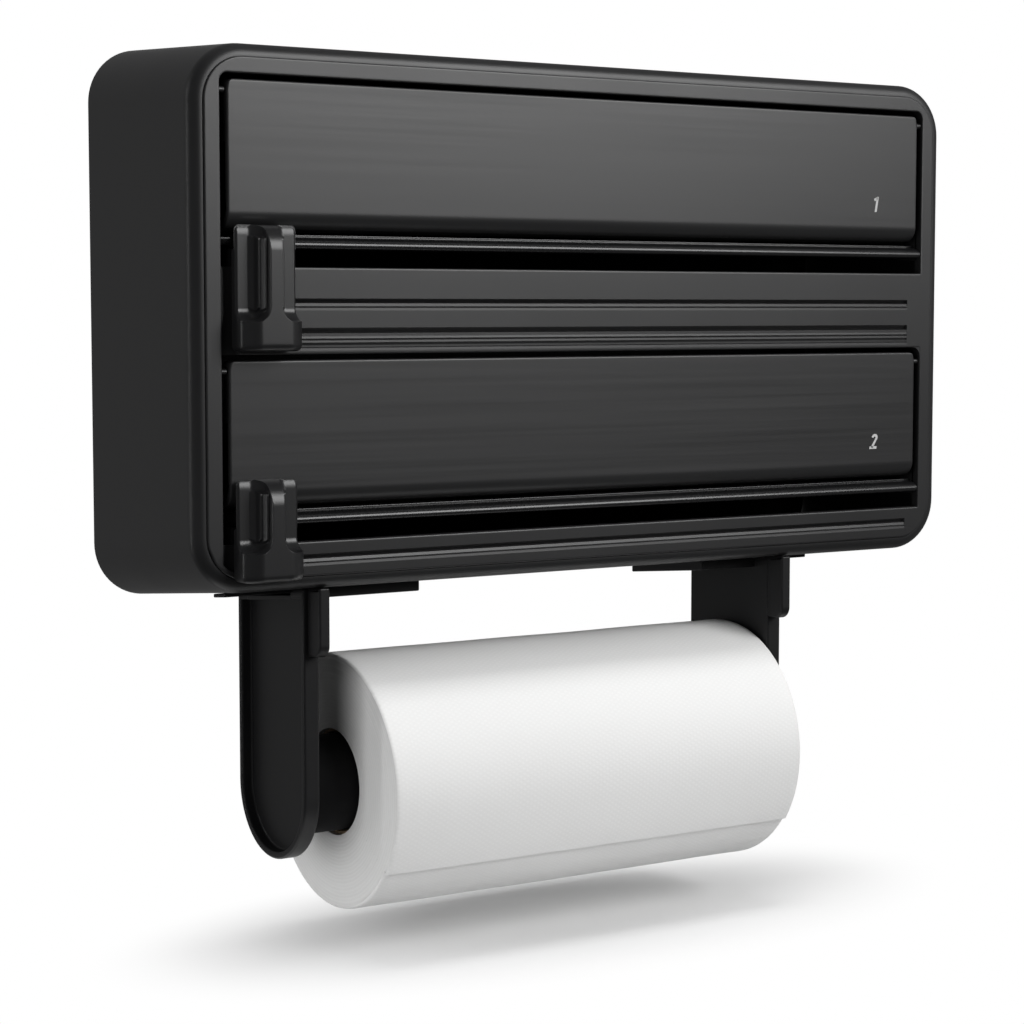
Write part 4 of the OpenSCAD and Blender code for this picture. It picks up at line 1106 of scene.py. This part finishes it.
def roll_patches(sizes):
    """The kitchen roll's outside: a wound outline carried along x. The radius has a slow
    wave and both edges are soft. Also its surface coordinates, its rings and its bore."""
    low, high = node_box("kitchen_roll")
    roll_r = high[2] - ROLL_AXIS[2]
    bore = node_box("roll_core")[1][2] - ROLL_AXIS[2] + HINT
    around, along, edge_run = 300, 60, 0.004
    turn = np.linspace(0, 1, around)
    a = np.pi + sizes.tail_angle + 2 * np.pi * turn
    inset, drop = ROLL_EDGE.T
    x = np.concatenate([
        low[0] + inset, np.linspace(low[0] + edge_run, high[0] - edge_run, along),
        (high[0] - inset)[::-1]])
    fall = np.concatenate([drop, np.zeros(along), drop[::-1]])
    wave_height, wave_room = 0.00008, 0.0002
    wave = (np.sin(3 * a + 1.3)[None] * np.cos(38 * x + 0.4)[:, None]
            + 0.7 * np.sin(5 * a + 0.2)[None] * np.cos(71 * x + 2.0)[:, None]
            + 0.6 * np.sin(2 * a + 2.3)[None] * np.sin(104 * x)[:, None])
    r = (wound_radius(turn, roll_r, sizes)[None] - fall[:, None] - wave_room
         + wave_height * wave)
    places = np.repeat(x[:, None], around, 1)
    side = np.stack([places, ROLL_AXIS[1] + r * np.cos(a)[None],
                     ROLL_AXIS[2] + r * np.sin(a)[None]], -1)
    uv = np.stack([np.repeat((a * roll_r)[None], len(x), 0), places], -1)
    return turned_over(grid_patch(side, wrap_v=True)), uv.reshape(-1, 2), side, bore


def end_patch(rim, bore, out, seed):
    """One end of the roll: rings from the rim to the bore, and one more inside the bore.
    Ring k stands in by a seeded walk that comes back to where it began."""
    rings, step, most, tuck = 44, 0.00005, 0.00025, 0.004
    rng = np.random.default_rng(seed)
    offset = np.cumsum(rng.normal(0, step, rings))
    offset -= np.linspace(offset[0], offset[-1], rings)
    offset = np.clip(offset, -most, most) - most
    offset[0] = 0.0
    t = np.linspace(0, 1, rings)[:, None]
    flat = rim[:, 1:] - ROLL_AXIS[None, 1:]
    radius = np.linalg.norm(flat, axis=1)[None]
    r = radius + (bore - radius) * t
    unit = flat / radius.T
    points = np.stack([rim[None, :, 0] + out * offset[:, None],
                       ROLL_AXIS[1] + r * unit[None, :, 0],
                       ROLL_AXIS[2] + r * unit[None, :, 1]], -1)
    tube = points[-1:] - [out * tuck, 0.0, 0.0]
    return grid_patch(np.concatenate([points, tube]), wrap_v=True)


def stroke(line, width):
    """Outline of a pen stroke: the line moved to both sides by half its width."""
    line = np.asarray(line, float)
    edge = np.gradient(line, axis=0)
    edge /= np.linalg.norm(edge, axis=1, keepdims=True)
    normal = np.column_stack([-edge[:, 1], edge[:, 0]]) * width / 2
    return line + normal, line - normal


def numeral_patches(bay):
    """A printed numeral near the right end of a door, 1 on the upper and 2 on the lower: a
    slanted pen stroke as a thin strip just before the door's front."""
    spot = bay_places(bay)
    tall, width, slant = 0.0068, 0.0012, 0.18
    from_end, from_top, before_door = 0.0245, 0.0435, 0.00004
    pen = width / tall
    if bay == "film":
        lines = [np.array([[0.0, 0.0], [0.0, 0.5], [0.0, 1.0]]),
                 np.array([[0.0, 0.91], [-0.12, 0.86], [-0.26, 0.78]])]
    else:
        head = arc((0.0, 0.73), 0.27 - pen / 2, 170, -38, 22)
        lines = [np.vstack([head, [[-0.30 + pen, pen / 2]]]),
                 np.array([[-0.31, pen / 2], [0.0, pen / 2], [0.30, pen / 2]])]
    patches = []
    for line in lines:
        strip = np.stack(stroke(line * tall, width))
        x = spot["door_half"] - from_end + strip[..., 0] + slant * strip[..., 1]
        z = spot["door_top"] - from_top + strip[..., 1]
        y = np.full(x.shape, spot["front"] - before_door)
        patches.append(grid_patch(np.stack([x, y, z], -1)))
    return patches


# Operators

class HOLDER_OT_housing(bpy.types.Operator):
    """Build the flared housing with its rounded rim and the slots for the arms"""

    bl_idname = "holder.housing"
    bl_label = "Housing"

    def execute(self, context):
        make_piece("housing", housing_patches(context.scene.holder_sizes), "housing",
                   finish_of("housing_plastic"), ["housing_shell"])
        return {"FINISHED"}


class HOLDER_OT_front_frame(bpy.types.Operator):
    """Build the front frame with its grooved panels"""

    bl_idname = "holder.front_frame"
    bl_label = "Front frame"

    def execute(self, context):
        make_piece("frame_front", frame_patches(context.scene.holder_sizes), "housing",
                   finish_of("frame_plastic"), ["front_frame"])
        return {"FINISHED"}


class HOLDER_OT_rails(bpy.types.Operator):
    """Build the two round-nosed rails above the slots"""

    bl_idname = "holder.rails"
    bl_label = "Rails"

    def execute(self, context):
        for bay in BAYS:
            make_piece(bay + "_nose_rail", rail_patches(bay), "housing",
                       finish_of("rail_plastic"), [bay + "_rail"])
        return {"FINISHED"}


class HOLDER_OT_doors(bpy.types.Operator):
    """Build the two doors and the numerals printed on them"""

    bl_idname = "holder.doors"
    bl_label = "Doors"

    def execute(self, context):
        for bay in BAYS:
            make_piece(bay + "_door_lid", door_patches(bay, context.scene.holder_sizes),
                       bay + "_door", finish_of("door_plastic"), [bay + "_door"])
            make_piece(bay + "_numeral", numeral_patches(bay), bay + "_door", finish_of("print"))
        return {"FINISHED"}


class HOLDER_OT_cutters(bpy.types.Operator):
    """Build the two cutter grips"""

    bl_idname = "holder.cutters"
    bl_label = "Cutters"

    def execute(self, context):
        for bay in BAYS:
            make_piece(bay + "_grip", grip_patches(bay), bay + "_cutter",
                       finish_of("cutter_plastic"), [bay + "_cutter_grip"])
        return {"FINISHED"}


class HOLDER_OT_arms(bpy.types.Operator):
    """Build the two arms with their slide plates and hubs"""

    bl_idname = "holder.arms"
    bl_label = "Arms"

    def execute(self, context):
        for side in SIDES:
            make_piece(side + "_arm_moulding", arm_patches(side, context.scene.holder_sizes),
                       side + "_arm", finish_of("arm_plastic"), [side + "_arm"])
            make_piece(side + "_core_hub", hub_patches(side), side + "_arm",
                       finish_of("inner_plastic"), [side + "_hub"])
        return {"FINISHED"}


class HOLDER_OT_roll(bpy.types.Operator):
    """Build the kitchen roll with its loose end, its wound ends and its core"""

    bl_idname = "holder.roll"
    bl_label = "Kitchen roll"

    def execute(self, context):
        patch, uv, side, bore = roll_patches(context.scene.holder_sizes)
        make_piece("paper_roll", [patch], "roll", finish_of("roll_paper"), ["kitchen_roll"],
                   uv=uv)
        left_seed, right_seed = 5, 8
        ends = [turned_over(end_patch(side[0], bore, -1, left_seed)),
                end_patch(side[-1], bore, 1, right_seed)]
        make_piece("paper_roll_ends", ends, "roll", finish_of("paper_edges"))
        make_piece("card_tube", core_patches(), "roll", finish_of("core_card"), ["roll_core"])
        return {"FINISHED"}


class HOLDER_OT_inner_pieces(bpy.types.Operator):
    """Give the CAD nodes that stay their finish and a small bevel"""

    bl_idname = "holder.inner_pieces"
    bl_label = "Inner pieces"

    def execute(self, context):
        weld_distance, bevel_width, bevel_angle = 0.00001, 0.00025, math.radians(40)
        for node, piece in NODES.items():
            if piece.hide_render:
                continue
            piece.data.materials.clear()
            piece.data.materials.append(finish_of(SLOTS[node]))
            weld = piece.modifiers.new("Weld", "WELD")
            weld.merge_threshold = weld_distance
            bevel = piece.modifiers.new("Bevel", "BEVEL")
            bevel.width, bevel.segments = bevel_width, 2
            bevel.limit_method, bevel.angle_limit = "ANGLE", bevel_angle
            bevel.harden_normals = False
        return {"FINISHED"}


class HOLDER_OT_stage(bpy.types.Operator):
    """Build the camera, the lamps, the pale floor and the white surround"""

    bl_idname = "holder.stage"
    bl_label = "Stage"

    def execute(self, context):
        stage = context.scene.holder_stage
        context.scene.view_settings.view_transform = "Standard"
        self.camera(context, stage)
        self.lamps(context)
        self.surround(context, stage)
        self.floor(context, stage)
        return {"FINISHED"}

    def camera(self, context, stage):
        """The camera at the photograph's viewing angle."""
        data = bpy.data.cameras.new("camera")
        data.lens, data.sensor_width = stage.focal, 36.0
        data.clip_start, data.clip_end = 0.01, 50.0
        camera = bpy.data.objects.new("camera", data)
        camera.location = stage.place
        camera.rotation_euler = (math.pi / 2 - stage.pitch, 0.0, -stage.yaw)
        context.scene.collection.objects.link(camera)
        context.scene.camera = camera

    def lamps(self, context):
        """Soft boxes: each has a place, the point that it faces, its two sizes, its power
        and whether it shows in reflections."""
        boxes = {
            "right box": ((0.648, -1.23, 0.60), (0.0, -0.06, -0.06), 0.9, 0.85, 20.0, True),
            "top box": ((0.0, -0.06, 1.5), (0.0, -0.059, 0.0), 0.8, 0.8, 24.0, False),
            "left fill": ((-1.33, -0.62, -0.02), (0.0, 0.0, -0.15), 1.2, 1.0, 10.5, False),
            "left strip": ((-1.42, 0.46, 0.1), (0.0, 0.0, 0.0), 0.14, 1.4, 2.5, True),
        }
        for name, (place, aim, wide, tall, power, mirrored) in boxes.items():
            data = bpy.data.lights.new(name, "AREA")
            data.shape, data.size, data.size_y, data.energy = "RECTANGLE", wide, tall, power
            lamp = bpy.data.objects.new(name, data)
            way = np.array(aim) - np.array(place)
            flat = math.hypot(way[0], way[1])
            lamp.location = place
            lamp.rotation_euler = (math.atan2(flat, -way[2]), 0.0,
                                   math.atan2(way[1], way[0]) - math.pi / 2)
            lamp.visible_glossy = mirrored
            context.scene.collection.objects.link(lamp)

    def surround(self, context, stage):
        """A studio that is dim in front and lighter at the back, and that the camera sees as
        white. A reflection shows the white in the part that lies behind the object."""
        world = bpy.data.worlds.new("studio")
        context.scene.world = world
        world.use_nodes = True
        world.node_tree.nodes.clear()
        room = Graph(world.node_tree)
        white_from, white_full, turn = 0.93, 0.985, 0.6
        camera, mirrored = room.light_path()
        ahead = room.node("ShaderNodeVectorMath", {"operation": "DOT_PRODUCT"}, {
            0: room.node("ShaderNodeTexCoord", output="Generated"),
            1: (math.sin(stage.yaw), math.cos(stage.yaw), 0.0)}, "Value")
        behind = room.node("ShaderNodeMapRange", None, {
            "Value": ahead, "From Min": white_from, "From Max": white_full})
        dim, light, white = (room.node("ShaderNodeBackground", None, {
            "Color": (1.0, 1.0, 1.0, 1.0), "Strength": strength})
            for strength in (stage.ambient_front, stage.ambient_back, 1.0))
        soft = room.node("ShaderNodeMixShader", None, {
            0: room.node("ShaderNodeMapRange", None, {
                "Value": ahead, "From Min": -turn, "From Max": turn}), 1: dim, 2: light})
        room.node("ShaderNodeOutputWorld", None, {"Surface": room.node(
            "ShaderNodeMixShader", None, {0: camera + mirrored * behind, 1: soft, 2: white})})

    def floor(self, context, stage):
        """A pale floor below the roll: a disc that keeps the shadow near the object and goes
        over into the white surround towards its edge."""
        low = node_box("kitchen_roll")[0][2] - stage.floor_drop
        rings, spokes, middle = 13, 96, -0.055
        r = np.linspace(0.0, stage.floor_radius, rings)
        a = np.linspace(0, 2 * np.pi, spokes, endpoint=False)
        points = np.stack([np.outer(r, np.cos(a)), np.outer(r, np.sin(a)) / 2 + middle,
                           np.full((rings, spokes), low)], -1)
        verts, quads, _ = grid_patch(points, wrap_v=True)
        mesh = bpy.data.meshes.new("floor")
        mesh.from_pydata(verts.tolist(), [], quads.tolist())
        floor = bpy.data.objects.new("floor", mesh)
        context.scene.collection.objects.link(floor)
        pale = Finish("floor pale", 0.9, Specular_IOR_Level=0.1)
        pale.shader.inputs["Base Color"].default_value = (0.65, 0.65, 0.65, 1.0)
        camera, mirrored = pale.light_path()
        reach = pale.node("ShaderNodeVectorMath", {"operation": "LENGTH"}, {
            0: pale.place((1.0, 2.0, 0.0), shift=(0.0, -2 * middle, 0.0))}, "Value")
        share = pale.node("ShaderNodeMapRange", {"interpolation_type": "SMOOTHSTEP"}, {
            "Value": reach, "From Min": 0.06, "From Max": 0.95 * stage.floor_radius,
            "To Min": 0.15, "To Max": 1.0})
        glow = pale.node("ShaderNodeEmission", None, {
            "Color": (1.0, 1.0, 1.0, 1.0), "Strength": 1.0})
        mixed = pale.node("ShaderNodeMixShader", None, {
            0: (camera + mirrored) * share, 1: Sock(pale, pale.shader.outputs[0]), 2: glow})
        pale.tree.links.new(mixed.socket, pale.tree.nodes["Material Output"].inputs["Surface"])
        mesh.materials.append(pale.material)


class HOLDER_PT_panel(bpy.types.Panel):
    """Settings and steps of the roll holder"""

    bl_label = "Roll holder"
    bl_idname = "HOLDER_PT_panel"
    bl_space_type = "VIEW_3D"
    bl_region_type = "UI"
    bl_category = "Roll holder"

    def draw(self, context):
        for step in STEPS:
            self.layout.operator(step.bl_idname)
        for group in GROUPS:
            box = self.layout.box()
            settings = getattr(context.scene, group)
            for key in settings.__annotations__:
                box.prop(settings, key)


STEPS = (HOLDER_OT_stage, HOLDER_OT_housing, HOLDER_OT_front_frame, HOLDER_OT_rails,
         HOLDER_OT_doors, HOLDER_OT_cutters, HOLDER_OT_arms, HOLDER_OT_roll,
         HOLDER_OT_inner_pieces)
GROUPS = {"holder_sizes": HolderSizes, "holder_finish": HolderFinish, "holder_stage": HolderStage}


def register():
    """Register the settings, the steps and the panel."""
    for made in (*GROUPS.values(), *STEPS, HOLDER_PT_panel):
        bpy.utils.register_class(made)
    for name, group in GROUPS.items():
        setattr(bpy.types.Scene, name, bpy.props.PointerProperty(type=group))


def unregister():
    """Take the panel, the steps and the settings away again."""
    for name in GROUPS:
        delattr(bpy.types.Scene, name)
    for made in reversed((*GROUPS.values(), *STEPS, HOLDER_PT_panel)):
        bpy.utils.unregister_class(made)


def main():
    register()
    for step in STEPS:
        group, name = step.bl_idname.split(".")
        getattr(getattr(bpy.ops, group), name)()


if __name__ == "__main__":
    main()
